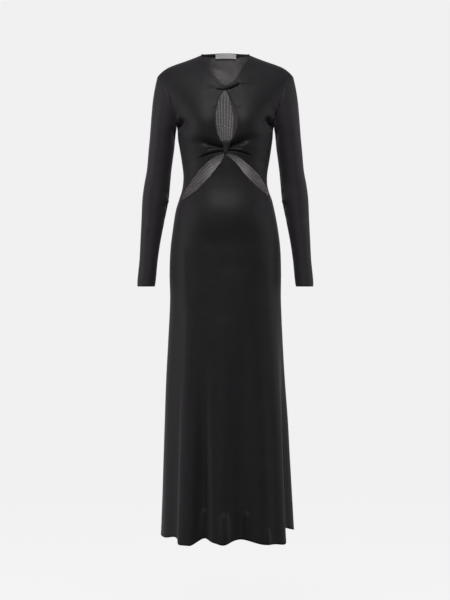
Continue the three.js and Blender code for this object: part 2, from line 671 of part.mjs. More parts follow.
// Label: a blank woven tab inside the back neck, over the binding
function neckLabel() {
  const inside = WALL + BINDING.clear + BINDING.thick + LAID_ON;
  const middle = BACK_STEPS.shoulder + BACK_STEPS.neck / 2;
  const grid = [];
  for (let j = 0; j <= LABEL_STEPS.down; j += 1) {
    const below = LABEL.tall * (j / LABEL_STEPS.down) - LAID_ON;
    grid.push(LABEL_COLUMNS.map((columnAt) => nearNeck(middle + columnAt, below, -inside)));
  }
  return wall(grid, panelNormals(grid, false, null), LABEL.thick, false);
}

add('neck_label', neckLabel(), LABEL_CLOTH);

// Sleeves: a ring at the armhole that follows both panels, then rounder rings down to the cuff
function armholePoint(side, i) {
  const isFront = i <= BODICE_STEPS.armhole;
  const [x, down] = armhole(side, isFront ? 'front' : 'back')[isFront ? i : SLEEVE_STEPS.around - i];
  return bodyPoint(isFront, angleAt(x, down), down);
}

function sleeveRow(side, place) {
  const row = {};
  for (const key of ['out', 'outDown', 'inn', 'innDown', 'deep', 'at']) row[key] = column(SLEEVE_PLACES, place, 'place', key);
  const sign = side === 'left' ? -1 : 1;
  const outer = new THREE.Vector3(sign * row.out, row.at, -row.outDown);
  const inner = new THREE.Vector3(sign * row.inn, row.at, -row.innDown);
  return (share) => {
    const turn = share * 2 * Math.PI;
    const p = outer.clone().add(inner).multiplyScalar(0.5);
    p.addScaledVector(outer.clone().sub(inner), 0.5 * Math.cos(turn));
    p.y -= row.deep * Math.sin(turn);
    return p;
  };
}

const SLEEVE_PLACES = SLEEVE.map((row, place) => ({ ...row, place }));
const CAP_PLACES = 6;          // the first rows of the sleeve table shape its cap

function sleeve(side) {
  const sign = side === 'left' ? -1 : 1;
  const lastPlace = SLEEVE.length - 1;
  const ellipse = sleeveRow(side, 0);
  const grid = [];
  const rows = SLEEVE_STEPS.capRows + SLEEVE_STEPS.rows;
  for (let j = 0; j <= rows; j += 1) {
    const place = j <= SLEEVE_STEPS.capRows
      ? CAP_PLACES * (j / SLEEVE_STEPS.capRows)
      : CAP_PLACES + (lastPlace - CAP_PLACES) * ((j - SLEEVE_STEPS.capRows) / SLEEVE_STEPS.rows);
    const ring = sleeveRow(side, place);
    const keep = 1 - easeIn(place, 0, CAP_PLACES);
    const row = [];
    for (let i = 0; i < SLEEVE_STEPS.around; i += 1) {
      const share = i / SLEEVE_STEPS.around;
      const p = ring(share);
      if (keep > 0) p.addScaledVector(armholePoint(side, i).sub(ellipse(share)), keep);
      p.x += sign * SEAM_GAP;
      row.push(p);
    }
    grid.push(row);
  }
  const normals = gridNormals(grid, true, null);
  const outward = normals[rows][0].x * sign;
  if (outward < 0) for (const row of normals) for (const n of row) n.negate();
  for (const n of normals[0]) n.setX(0).normalize();
  return wall(grid, normals, WALL, true);
}

for (const side of ['left', 'right']) add(`sleeve_${side}`, sleeve(side), CLOTH);

export default dress;
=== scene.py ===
import math

import bpy
import numpy as np
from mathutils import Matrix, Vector


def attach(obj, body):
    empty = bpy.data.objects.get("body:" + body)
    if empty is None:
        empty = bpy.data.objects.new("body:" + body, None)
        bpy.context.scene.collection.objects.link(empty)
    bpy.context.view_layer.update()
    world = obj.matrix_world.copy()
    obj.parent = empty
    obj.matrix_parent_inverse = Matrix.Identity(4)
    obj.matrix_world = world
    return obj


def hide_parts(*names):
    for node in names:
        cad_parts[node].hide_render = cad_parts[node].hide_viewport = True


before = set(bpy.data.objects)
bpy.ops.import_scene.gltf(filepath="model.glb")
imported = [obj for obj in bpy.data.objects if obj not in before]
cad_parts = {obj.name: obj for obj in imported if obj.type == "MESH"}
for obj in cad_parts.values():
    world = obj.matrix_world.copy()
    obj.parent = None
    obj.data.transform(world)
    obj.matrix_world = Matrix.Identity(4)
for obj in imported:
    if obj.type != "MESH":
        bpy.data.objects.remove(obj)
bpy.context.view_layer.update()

# Front bodices. Two pieces of black viscose jersey, cut with the V neck, the keyhole's edge and the
# curved waist edge. Their free edges are turned in, and they are sewn to the back at the shoulders
# and sides, to the sleeves at the armholes and to each other under the twist.

# Sizes are in millimetres. down is measured from the side neck points, and half from the centre.
MM = 0.001
SIDES = ("left", "right")
CLOTH = 1.2                # thickness of the shells
SEAM_GAP = 0.4
HALF_SEAM = SEAM_GAP / 2
SEAM_BULGE = 0.17          # how far each seamed edge reaches into the gap of its seam
NECK_HALF = 74.5
SHOULDER_HALF = 199.5
SHOULDER_DROP = 60
ARMPIT_HALF = 142.6
ARMPIT_DOWN = 212
WAIST_POINT_HALF = 133.5
WAIST_POINT_DOWN = 428
HEM_DOWN = 1411
V_FOOT = 103
KEYHOLE_TOP = 113
KEYHOLE_BOTTOM = 266
GATHER_END = 294


def columns(names, *rows):
    return dict(zip(names.split(), np.array(rows, float).T))


# Half widths and centre depths of the cloth
BODY = columns(
    "down left right front back",
    (-60, 258, 258, 44, 62),
    (0, 240, 240, 62, 80),
    (60, 214, 214, 78, 95),
    (100, 198, 198, 87, 103),
    (150, 174, 174, 94, 108),
    (190, 153.5, 153.5, 96, 109),
    (212, 142.8, 142.8, 96, 108),
    (248, 139.5, 139, 94, 104),
    (277, 134.5, 135, 92, 99),
    (307, 129.5, 130.5, 91, 93),
    (357, 123.7, 123.2, 92, 86),
    (395, 127.5, 126.5, 97, 90),
    (425, 136, 137, 102, 98),
    (454, 145.5, 144.5, 106, 108),
    (513, 155, 155.5, 110, 124),
    (572, 162, 162.5, 111, 134),
    (640, 164.5, 164.5, 112, 138),
    (720, 163, 164, 116, 138),
    (838, 168.5, 169.5, 123, 140),
    (956, 174.5, 175, 130, 144),
    (1074, 178, 181, 136, 148),
    (1192, 181, 184, 142, 153),
    (1310, 184, 188, 147, 157),
    (1420, 188, 193, 151, 161),
)
PLAN_POWER = 2.4
CROWN = {"front": 150, "back": 130}
NECK_CROWN = {"front": 45, "back": 72}
NECK_LEVEL = 0.34          # share of the back neck's half width before its cloth begins to fall
BUST = {"half": 74, "down": 222, "out": 25, "wide": 46, "tall": 44}
BELLY = {"down": 476, "out": 11.5, "wide": 112, "tall": 40}
SHOULDER_LINE = columns(
    "half down",
    (NECK_HALF, 0),
    (90, 6),
    (118, 16.5),
    (150, 27.5),
    (170, 36),
    (186, 47),
    (SHOULDER_HALF, SHOULDER_DROP),
)
ARMHOLE = columns(
    "down front back",
    (SHOULDER_DROP, SHOULDER_HALF, SHOULDER_HALF),
    (84, 183, 187),
    (112, 169, 175),
    (145, 158.5, 163),
    (182, 149.5, 151.5),
    (ARMPIT_DOWN, ARMPIT_HALF, ARMPIT_HALF),
)
NECK_EDGE = columns(
    "left right down",
    (NECK_HALF, NECK_HALF, 0),
    (48, 49, 48),
    (21, 27, 84),
    (HALF_SEAM, HALF_SEAM, V_FOOT),
)
KEYHOLE_EDGE = columns(
    "left right down",
    (HALF_SEAM, HALF_SEAM, KEYHOLE_TOP),
    (12, 9, 126),
    (21.3, 20, 147),
    (28.5, 34.5, 186),
    (26.5, 33, 228),
    (18, 22, 254),
    (11.5, 12.5, 265),
)
CUT_UPPER = columns(
    "left right down_left down_right",
    (HALF_SEAM, HALF_SEAM, GATHER_END, GATHER_END),
    (32.6, 31.7, 310, 306),
    (53.4, 55.7, 329, 326.5),
    (77, 80, 357.5, 349.5),
    (101, 104.4, 388.5, 375.5),
    (119.5, 121, 412, 398),
    (WAIST_POINT_HALF, WAIST_POINT_HALF, WAIST_POINT_DOWN, WAIST_POINT_DOWN),
)
# Creases and ridges of the front, placed from one point to another. out is below zero in a
# trough, bend is how far the middle of the line drops, and fan is how much wider its far end is.
CREASE = "half down to_half to_down bend out wide fan"
CREASE_FADE = {"in": (0, 0.1), "away": (0.5, 1)}     # shares of a crease's length
GATHERS = columns(
    CREASE,
    (-1, 281, -74, 260, 0, -8, 2.0, 2.4),
    (-1, 281, -118, 262, -5, -7, 3.2, 2.4),
    (-1, 291, -84, 314, -5, -12, 1.4, 0.5),
    (-9, 283, -64, 290, -3, -4, 1.5, 1.2),
    (-9, 288, -46, 298, -2, -2.5, 1.2, 0.8),
    (-6, 284, -82, 277, 1, 1.0, 4, 1.6),
    (-6, 289, -84, 300, -3, 1.8, 3, 1.5),
    (-8, 297, -46, 318, 0, 2.2, 2.6, 0.8),
    (2, 281, 72, 253, -1, -8, 2.0, 2.6),
    (2, 281, 122, 252, -9, -8, 3.6, 2.6),
    (2, 289, 82, 309, -7, -12, 1.4, 0.5),
    (12, 282, 54, 283, -2, -4, 1.5, 1.0),
    (10, 286, 44, 296, -2, -2, 1.2, 0.8),
    (7, 284, 84, 273, 1, 1.0, 4, 1.6),
    (7, 288, 80, 295, -3, 1.8, 3, 1.5),
    (8, 295, 44, 315, 0, 2.2, 2.6, 0.8),
)
# Soft creases that run from the armpits, the twist, the bust and the waist
FRONT_CREASES = columns(
    CREASE,
    (-23, 111.5, 14, 110.5, 0.5, -2.4, 1.3, 0.3),
    (10, 110, 44, 93.5, -1, -9, 1.7, 0.2),
    (-139, 215, -124, 190, 2, -10, 3.0, 0.9),
    (-136, 222, -106, 200, 2, -3, 5, 1.2),
    (-140, 232, -114, 232, -3, 2, 6, 1.0),
    (138, 212, 120, 184, 3, -10, 3.2, 0.9),
    (135, 220, 106, 197, 2, -3, 5, 1.2),
    (139, 231, 112, 230, -3, 2, 6, 1.0),
    (-150, 182, -120, 150, 0, -2, 6, 1.2),
    (150, 182, 118, 146, 0, -2, 6, 1.2),
    (-26, 108, -70, 122, -4, -0.7, 4, 1.8),
    (-30, 100, -90, 94, -5, 0.8, 6, 1.8),
    (38, 93, 92, 86, -3, 1.8, 5, 1.8),
    (36, 99, 90, 112, -5, -1.0, 4, 1.8),
    (-30, 160, -34, 250, 0, -0.8, 5, 0.3),
    (38, 160, 36, 248, 0, -0.8, 5, 0.3),
    (-60, 330, -118, 352, -5, 1.2, 6, 1.0),
    (62, 330, 118, 346, -5, 1.2, 6, 1.0),
    (-120, 330, -84, 322, 3, -1.2, 5, 1.0),
    (121, 318, 82, 316, 3, -1.2, 5, 1.0),
    (-128, 392, -100, 366, 2, -1.4, 4, 1.0),
    (128, 388, 104, 360, 2, -1.4, 4, 1.0),
)
# Creases of the skirt's front
SKIRT_CREASES = columns(
    CREASE,
    (-60, 1325, -68, 1430, 0, 5.5, 5.5, 0.5),
    (-3, 1320, 1, 1430, 0, 6, 6, 0.5),
    (64, 1330, 57, 1425, 0, 5.5, 5.5, 0.4),
    (119, 1365, 124, 1430, 0, 4.5, 4, 0.4),
    (-6, 318, -20, 420, 0, 1.2, 6, 1.6),
    (8, 318, 24, 420, 0, 1.2, 6, 1.6),
    (-120, 446, -70, 470, 4, -1.6, 8, 1.2),
    (122, 444, 74, 468, 4, -1.6, 8, 1.2),
    (-66, 540, 60, 548, 16, -2.2, 16, 0.4),
    (-20, 620, 90, 600, 12, -1.5, 14, 0.4),
    (-120, 560, -126, 800, 0, 2.4, 10, 0.5),
    (128, 600, 130, 860, 0, 1.8, 10, 0.5),
    (-64, 700, -70, 1120, 0, -2.5, 16, 0.2),
    (52, 720, 62, 1150, 0, -2.5, 16, 0.2),
    (-8, 760, -12, 1100, 0, 1.8, 12, 0.3),
)
# Creases of the back. The drag lines run along the cut-outs, each by its place across them and its push.
DRAG_LINES = [
    (side * (30 + 6 * k), 326 - 6.5 * k, side * (116 + 4 * k), 408 - 5 * k, 3, out, 2.4 + abs(out), 0.4)
    for side in (-1, 1)
    for k, out in (
        (-3.2, 0.5 * side),
        (-1.8, -0.9),
        (0.4, 0.6),
        (1.3, -0.5 - 0.3 * side),
        (3.1, 0.4),
        (4.2, -0.7),
    )
]
BACK_CREASES = columns(
    CREASE,
    *DRAG_LINES,
    (-118, 372, -20, 392, 9, -3.2, 7, 0.8),
    (116, 366, 26, 384, 9, -2.8, 7, 0.8),
    (-96, 346, 40, 356, 6, -2.2, 6, 0.8),
    (106, 330, -30, 340, 5, -2.0, 6, 0.8),
    (-60, 404, 86, 412, 7, -2.4, 8, 0.6),
    (-110, 430, -30, 460, 4, 2, 9, 1),
    (112, 428, 40, 456, 4, 2, 9, 1),
    (-134, 236, -86, 190, 4, -3, 7, 1.2),
    (134, 234, 84, 186, 4, -3, 7, 1.2),
    (-150, 190, -104, 130, 3, -2.4, 8, 1.2),
    (150, 188, 102, 128, 3, -2.4, 8, 1.2),
    (-30, 50, 30, 56, 4, -1.5, 4.5, 0.3),
    (-24, 66, 32, 63, 3, -1.4, 4, 0.3),
    (-24, 80, 30, 86, 3, 1.4, 4.5, 0.3),
    (-40, 20, 20, 34, 3, 1.6, 5, 0.6),
    (-64, 110, -20, 84, 2, -1.2, 5, 0.8),
    (66, 112, 22, 90, 2, -1.2, 5, 0.8),
    (-70, 620, 62, 640, 18, -2.5, 16, 0.4),
    (-100, 700, -112, 1080, 0, 3, 13, 0.4),
    (96, 690, 110, 1100, 0, 3, 13, 0.4),
)
# Folds of the skirt, front and back. turn is the angle from the front centre, positive to the right.
FOLDS = columns(
    "turn out wide start",
    (-112, 9, 13, 860),
    (-56, -10, 6.5, 700),
    (-43, 8, 3, 620),
    (-36, 11, 4.5, 660),
    (-29, 9, 2.8, 800),
    (-20.5, -16, 4.8, 760),
    (-1.5, 8, 4, 860),
    (15, -13, 8, 760),
    (36, 10, 9, 820),
    (55, 15, 6.5, 620),
    (80, -27, 8.5, 740),
    (109, 21, 11, 720),
    (139, -12, 11, 860),
    (163, 12, 11, 800),
    (186, -12, 11, 880),
    (208, 13, 11, 780),
    (229, -10, 9, 860),
)
FOLD_GROWTH = 0.8
HEM_DROP_PER_FOLD = 0.72
HEM_LIFT = {"turn": 106, "wide": 15, "up": 20, "start": 1100}     # the back is short at its right side
TOP_CROWDING = 1.25
AROUND_PER_DEGREE = 2.4     # cloth round the body for each degree from the front centre or back centre
BODICE_STEPS = {
    "across": 150,
    "neck": 54,
    "join": 8,
    "keyhole": 84,
    "floor": 6,
    "gather": 38,
    "armhole": 80,
    "side": 110,
}
LINE_STEPS = 60             # points between two of the given points of a smooth line


# Smooth way from one value to the next, with the slopes at which it leaves and arrives
def blend(t, first, last, leave, arrive):
    stay = (1 + 2 * t) * (1 - t) ** 2
    return stay * first + (1 - stay) * last + t * (1 - t) ** 2 * leave - t**2 * (1 - t) * arrive


# Value of one column of a table at a place along another, by a smooth curve through the rows
def read(table, key, value, place):
    k, v = table[key], table[value]
    wide_k, wide_v = np.pad(k, 1, "edge"), np.pad(v, 1, "edge")
    slope = (wide_v[2:] - wide_v[:-2]) / (wide_k[2:] - wide_k[:-2])
    i = np.clip(np.searchsorted(k, place) - 1, 0, len(k) - 2)
    span = k[i + 1] - k[i]
    t = np.clip((place - k[i]) / span, 0, 1)
    return blend(t, v[i], v[i + 1], span * slope[i], span * slope[i + 1])


def bell(distance, width):
    return np.exp(-0.5 * (distance / width) ** 2)


def ease(place, start, end):
    t = np.clip((place - start) / (end - start), 0, 1)
    return t * t * (3 - 2 * t)


def side_width(angle, down):
    return np.where(angle < 0, read(BODY, "down", "left", down), read(BODY, "down", "right", down))


def shoulder_down(half, panel):
    near = np.clip(half / NECK_HALF, 0, 1)
    over_neck = -NECK_CROWN[panel] * (1 - (near if panel == "front" else ease(near, NECK_LEVEL, 1)))
    return np.where(half >= NECK_HALF, read(SHOULDER_LINE, "half", "down", half), over_neck)


def rows_of(table):
    for values in zip(*table.values()):
        yield dict(zip(table, values))


def fold_out(turn, down):
    out = np.zeros_like(turn)
    for fold in rows_of(FOLDS):
        away = np.abs(turn - fold["turn"]) % 360
        nearest = np.minimum(away, 360 - away)
        out += fold["out"] * bell(nearest, fold["wide"]) * ease(down, fold["start"], HEM_DOWN) ** FOLD_GROWTH
    return out


# Outward push of a table of creases at places of the cloth
def creases(table, x, down):
    out = np.zeros_like(x)
    for crease in rows_of(table):
        run = np.array([crease["to_half"] - crease["half"], crease["to_down"] - crease["down"]])
        length = np.hypot(*run)
        run /= length
        along = ((x - crease["half"]) * run[0] + (down - crease["down"]) * run[1]) / length
        off = (down - crease["down"]) * run[0] - (x - crease["half"]) * run[1]
        off *= np.sign(run[0]) if run[0] else 1
        t = np.clip(along, 0, 1)
        off = off - 4 * crease["bend"] * t * (1 - t)
        fade = ease(along, *CREASE_FADE["in"]) * (1 - ease(along, *CREASE_FADE["away"]))
        out += crease["out"] * fade * bell(off, crease["wide"] * (1 + crease["fan"] * t))
    return out


# Points of the cloth's outer face. angle runs from -90 at the left side seam to 90 at the right one.
def body_points(panel, angle, down):
    angle, down = np.broadcast_arrays(np.asarray(angle, float), np.asarray(down, float))
    s = np.sin(np.radians(angle))
    x = side_width(angle, down) * s
    plan = np.sqrt(np.clip(1 - np.abs(s) ** PLAN_POWER, 0, 1))
    rise = np.clip((down - shoulder_down(np.abs(x), panel)) / CROWN[panel], 0, 1)
    y = read(BODY, "down", panel, down) * plan * np.sqrt(1 - (1 - rise) ** 2)
    front = panel == "front"
    if front:
        bust = bell(np.abs(x) - BUST["half"], BUST["wide"]) * bell(down - BUST["down"], BUST["tall"])
        belly = bell(x, BELLY["wide"]) * bell(down - BELLY["down"], BELLY["tall"])
        y = y + (BUST["out"] * bust + BELLY["out"] * belly) * plan
    fold = fold_out(angle if front else 180 - angle, down)
    y = -y if front else y
    reach = np.maximum(np.hypot(x, y), 1e-6)
    x, y = x * (1 + fold / reach), y * (1 + fold / reach)
    y = y - creases(GATHERS, x, down) - HALF_SEAM if front else y + HALF_SEAM
    away = (angle if front else 180 - angle) - HEM_LIFT["turn"]
    lift = HEM_LIFT["up"] * bell(away, HEM_LIFT["wide"]) * ease(down, HEM_LIFT["start"], HEM_DOWN)
    return np.stack([x, y, lift - down - HEM_DROP_PER_FOLD * fold], -1)


def angle_at(x, down):
    return np.degrees(np.arcsin(np.clip(x / side_width(x, down), -1, 1)))


# Evenly spaced points along a smooth line through the given ones
def smooth_line(points, steps, crowding=1.0):
    p = np.array(points, float)
    p = np.vstack([2 * p[0] - p[1], p, 2 * p[-1] - p[-2]])
    d = np.linalg.norm(np.diff(p, axis=0), axis=1) ** 0.5
    t = np.linspace(0, 1, LINE_STEPS + 1)[:-1, None]
    pieces = []
    for i in range(1, len(p) - 2):
        chord = (p[i + 1] - p[i]) / d[i]
        leave = ((p[i] - p[i - 1]) / d[i - 1] - (p[i + 1] - p[i - 1]) / (d[i - 1] + d[i]) + chord) * d[i]
        arrive = (chord - (p[i + 2] - p[i]) / (d[i] + d[i + 1]) + (p[i + 2] - p[i + 1]) / d[i + 1]) * d[i]
        pieces.append(blend(t, p[i], p[i + 1], leave, arrive))
    line = np.vstack(pieces + [p[-2:-1]])
    along = np.concatenate([[0], np.cumsum(np.linalg.norm(np.diff(line, axis=0), axis=1))])
    want = along[-1] * (np.arange(steps + 1) / steps) ** crowding
    return np.stack([np.interp(want, along, line[:, k]) for k in range(line.shape[1])], -1)


def chain(*stretches):
    return np.vstack([stretches[0]] + [s[1:] for s in stretches[1:]])


def sign_of(side):
    return -1 if side == "left" else 1


def edge_line(table, side, across, steps, crowding=1.0, down="down"):
    points = np.stack([sign_of(side) * table[across], table[down]], -1)
    return smooth_line(points, steps, crowding)


def upright(side, start, end, steps):
    return smooth_line([(sign_of(side) * HALF_SEAM, down) for down in (start, end)], steps)


def armhole(side, panel):
    return edge_line(ARMHOLE, side, panel, BODICE_STEPS["armhole"], TOP_CROWDING)


def side_seam(side, start, end, steps):
    down = np.linspace(start, end, steps + 1)
    return np.stack([sign_of(side) * read(BODY, "down", side, down), down], -1)


# Four-sided patch filled from its edges, as angles and heights
def patch(top, bottom, first, last):
    t, b, l, r = (np.stack([angle_at(e[:, 0], e[:, 1]), e[:, 1]], -1) for e in (top, bottom, first, last))
    u = np.linspace(0, 1, len(t))[None, :, None]
    v = np.linspace(0, 1, len(l))[:, None, None]
    mix = (1 - v) * t[None] + v * b[None] + (1 - u) * l[:, None] + u * r[:, None]
    mix -= (1 - u) * ((1 - v) * t[0] + v * b[0]) + u * ((1 - v) * t[-1] + v * b[-1])
    return mix[..., 0], mix[..., 1]


# Directions square to a grid of points. seen is a (row, column, axis) and the sign that the direction
# has there. flat is a list of (rows, columns, axis): there the direction has nothing along that axis,
# so that both sides of a seam meet cleanly.
def grid_normals(grid, seen, sign, closed=False, flat=()):
    if closed:
        across = np.roll(grid, -1, 1) - np.roll(grid, 1, 1)
    else:
        across = np.gradient(grid, axis=1)
    normals = np.cross(across, np.gradient(grid, axis=0))
    for rows, cols, axis in flat:
        normals[rows, cols, axis] = 0
    normals /= np.maximum(np.linalg.norm(normals, axis=-1, keepdims=True), 1e-9)
    return -normals if normals[seen] * sign < 0 else normals


# Distances in the cloth from each point of a grid to the grid's four edges
def edge_distances(grid):
    down = np.linalg.norm(np.diff(grid, axis=0), axis=-1)
    across = np.linalg.norm(np.diff(grid, axis=1), axis=-1)
    from_top = np.vstack([np.zeros((1, grid.shape[1])), np.cumsum(down, 0)])
    from_first = np.hstack([np.zeros((grid.shape[0], 1)), np.cumsum(across, 1)])
    return {
        "top": from_top,
        "bottom": from_top[-1:] - from_top,
        "first": from_first,
        "last": from_first[:, -1:] - from_first,
    }


ALL_TURNED = {"top": 1, "bottom": 1, "first": 1, "last": 1}
TURNED_ROUND = 0.45        # how far a turned edge bulges, as a share of the cloth's thickness


# Closed shell between two grids. free is 1 along a turned edge, which is round, and 0 along a seam. The
# attribute "cloth" holds the place in the cloth, then 1 on the wrong side and -1 on a turned edge, where the
# material paints a dark line of shade.
def shell(name, outer, inner, place, free=None, closed=False):
    rows, cols = outer.shape[:2]
    number = np.arange(rows * cols).reshape(rows, cols)
    if closed:
        loops = [(number[0], np.zeros(cols)), (number[-1], np.ones(cols))]
        wrapped = np.hstack([number, number[:, :1]])
    else:
        free = free or {}
        ring = [
            (number[0, :-1], free.get("top", 0)),
            (number[:-1, -1], free.get("last", 0)),
            (number[-1, :0:-1], free.get("bottom", 0)),
            (number[:0:-1, 0], free.get("first", 0)),
        ]
        turned = [np.broadcast_to(np.asarray(kind, float), ids.shape) for ids, kind in ring]
        loops = [(np.concatenate([ids for ids, _ in ring]), np.concatenate(turned))]
        wrapped = number
    a, b, c, d = wrapped[:-1, :-1], wrapped[1:, :-1], wrapped[1:, 1:], wrapped[:-1, 1:]
    faces = [np.stack([a, b, c, d], -1).reshape(-1, 4)]
    faces.append(np.stack([a, d, c, b], -1).reshape(-1, 4) + rows * cols)
    points = [outer.reshape(-1, 3), inner.reshape(-1, 3)]
    around = np.stack([place[0], place[1], np.zeros_like(place[0])], -1).reshape(-1, 3)
    wrong = around.copy()
    wrong[:, 2] = 1
    cloth = [around, wrong]
    total = 2 * rows * cols
    flat_outer, flat_inner = points[0], points[1]
    for k, (ids, round_) in enumerate(loops):
        o, i = flat_outer[ids], flat_inner[ids]
        middle = (o + i) / 2
        r, q = np.divmod(ids, cols)
        if closed:
            step = 1 if k == 0 else -1
            inward = (r + step) * cols + q
        else:
            inward = np.clip(r, 1, rows - 2) * cols + np.clip(q, 1, cols - 2)
        away = middle - (flat_outer[inward] + flat_inner[inward]) / 2
        along = np.roll(middle, -1, 0) - np.roll(middle, 1, 0)
        along /= np.maximum(np.linalg.norm(along, axis=1, keepdims=True), 1e-9)
        away -= along * np.sum(away * along, 1, keepdims=True)
        away /= np.maximum(np.linalg.norm(away, axis=1, keepdims=True), 1e-9)
        thick = np.linalg.norm(o - i, axis=1, keepdims=True)
        points.append(middle + away * np.where(round_[:, None] == 1, thick * TURNED_ROUND, SEAM_BULGE))
        cloth[0][ids[round_ == 1], 2] = -1
        rim_cloth = around[ids]
        rim_cloth[round_ == 1, 2] = -1
        cloth.append(rim_cloth)
        rim = total + np.arange(len(ids))
        total += len(ids)
        nxt = np.roll(np.arange(len(ids)), -1)
        outer_face = np.stack([ids, ids[nxt], rim[nxt], rim], -1)
        inner_face = np.stack([rim, rim[nxt], ids[nxt] + rows * cols, ids + rows * cols], -1)
        if closed and k == 1:
            outer_face, inner_face = outer_face[:, ::-1], inner_face[:, ::-1]
        faces += [outer_face, inner_face]
    return mesh_piece(name, np.vstack(points), np.vstack(faces), np.vstack(cloth))


def add_object(name, data):
    made = bpy.data.objects.new(name, data)
    bpy.context.scene.collection.objects.link(made)
    return made


# Smooth mesh object from points in millimetres and four-sided faces, turned so that it faces out
def mesh_piece(name, points, faces, cloth):
    p = points[faces]
    if sum(np.sum(p[:, 0] * np.cross(p[:, k], p[:, k + 1])) for k in (1, 2)) < 0:
        faces = faces[:, ::-1]
    mesh = bpy.data.meshes.new(name)
    mesh.from_pydata((points * MM).tolist(), [], faces.tolist())
    attribute = mesh.attributes.new("cloth", "FLOAT_VECTOR", "POINT")
    attribute.data.foreach_set("vector", (cloth * [MM, MM, 1]).ravel())
    mesh.shade_smooth()
    mesh.update()
    return add_object(name, mesh)


# Turned edges stand a little proud, and the cloth sinks a little at each seam
TURNED = {"wide": 8, "soft": 5, "out": 0.35}
SEAM_SINK = {"wide": 2.6, "in": 0.85}
CREASE_CLEAR = 14


def turned_edge(distance):
    return TURNED["out"] * (1 - ease(distance, TURNED["wide"], TURNED["wide"] + TURNED["soft"]))


# Creases die away towards a seam
def clear_of(*distances):
    return np.prod([ease(d, 0, CREASE_CLEAR) for d in distances], axis=0)


def seam_sink(distance):
    return -SEAM_SINK["in"] * np.exp(-((distance / SEAM_SINK["wide"]) ** 2))


# New node, with some of its inputs set
def add_node(tree, kind, **values):
    node = tree.nodes.new(kind)
    set_inputs(node, **values)
    return node


def set_inputs(node, **values):
    for name, value in values.items():
        node.inputs[name.replace("_", " ")].default_value = value


KNIT_WANDER = {"scale": 26, "detail": 3, "stitches": 7}
DYE_NOISE = {"detail": 4, "rough": 0.6}


# Node group of a knit: upright ribs, broken into stitches, at the place of the cloth
def knit_group():
    group = bpy.data.node_groups.new("knit ribs", "ShaderNodeTree")
    face = group.interface
    face.new_socket("Place", in_out="INPUT", socket_type="NodeSocketVector")
    for name in ("Rib Pitch", "Stitch Pitch", "Wander"):
        face.new_socket(name, in_out="INPUT", socket_type="NodeSocketFloat")
    for name in ("Rib", "Stitch"):
        face.new_socket(name, in_out="OUTPUT", socket_type="NodeSocketFloat")
    nodes, links = group.nodes, group.links
    entry, leave = nodes.new("NodeGroupInput"), nodes.new("NodeGroupOutput")
    wander = KNIT_WANDER
    noise = add_node(group, "ShaderNodeTexNoise", Scale=wander["scale"], Detail=wander["detail"])
    links.new(entry.outputs["Place"], noise.inputs["Vector"])
    split = nodes.new("ShaderNodeSeparateXYZ")
    links.new(entry.outputs["Place"], split.inputs[0])
    drift = math_node(group, "MULTIPLY", noise.outputs["Fac"], entry.outputs["Wander"])
    rib = math_node(group, "ADD", split.outputs["X"], drift)
    rib = math_node(group, "DIVIDE", rib, entry.outputs["Rib Pitch"])
    shift = math_node(group, "MULTIPLY", noise.outputs["Fac"], wander["stitches"])
    stitch = math_node(group, "DIVIDE", split.outputs["Y"], entry.outputs["Stitch Pitch"])
    stitch = math_node(group, "ADD", stitch, shift)
    for name, turns in (("Rib", rib), ("Stitch", stitch)):
        wave = math_node(group, "SINE", math_node(group, "MULTIPLY", turns, 2 * math.pi))
        links.new(math_node(group, "MULTIPLY_ADD", wave, 0.5, 0.5), leave.inputs[name])
    return group


# Node group of soft, broad unevenness in a dyed cloth
def dye_group():
    group = bpy.data.node_groups.new("uneven dye", "ShaderNodeTree")
    group.interface.new_socket("Size", in_out="INPUT", socket_type="NodeSocketFloat")
    group.interface.new_socket("Depth", in_out="OUTPUT", socket_type="NodeSocketFloat")
    nodes, links = group.nodes, group.links
    entry, leave = nodes.new("NodeGroupInput"), nodes.new("NodeGroupOutput")
    where = nodes.new("ShaderNodeNewGeometry")
    noise = add_node(group, "ShaderNodeTexNoise", Detail=DYE_NOISE["detail"], Roughness=DYE_NOISE["rough"])
    links.new(where.outputs["Position"], noise.inputs["Vector"])
    links.new(math_node(group, "DIVIDE", 1, entry.outputs["Size"]), noise.inputs["Scale"])
    links.new(noise.outputs["Fac"], leave.inputs["Depth"])
    return group


# Output of one math node. Each value is a number or another node's output.
def math_node(tree, kind, *values):
    node = tree.nodes.new("ShaderNodeMath")
    node.operation = kind
    for socket, value in zip(node.inputs, values):
        if isinstance(value, (int, float)):
            socket.default_value = value
        else:
            tree.links.new(value, socket)
    return node.outputs[0]


def mixed_colour(tree, factor, first, second):
    node = tree.nodes.new("ShaderNodeMix")
    node.data_type = "RGBA"
    for key, value in (("Factor", factor), ("A", first), ("B", second)):
        if isinstance(value, tuple):
            node.inputs[key].default_value = (*value, 1)
        else:
            tree.links.new(value, node.inputs[key])
    return node.outputs["Result"]


def mixed_value(tree, factor, first, second):
    node = tree.nodes.new("ShaderNodeMix")
    for socket, value in zip(node.inputs[:1] + node.inputs[2:4], (factor, first, second)):
        tree.links.new(value, socket)
    return node.outputs["Result"]


def shade(colour, amount):
    return tuple(c * amount for c in colour)


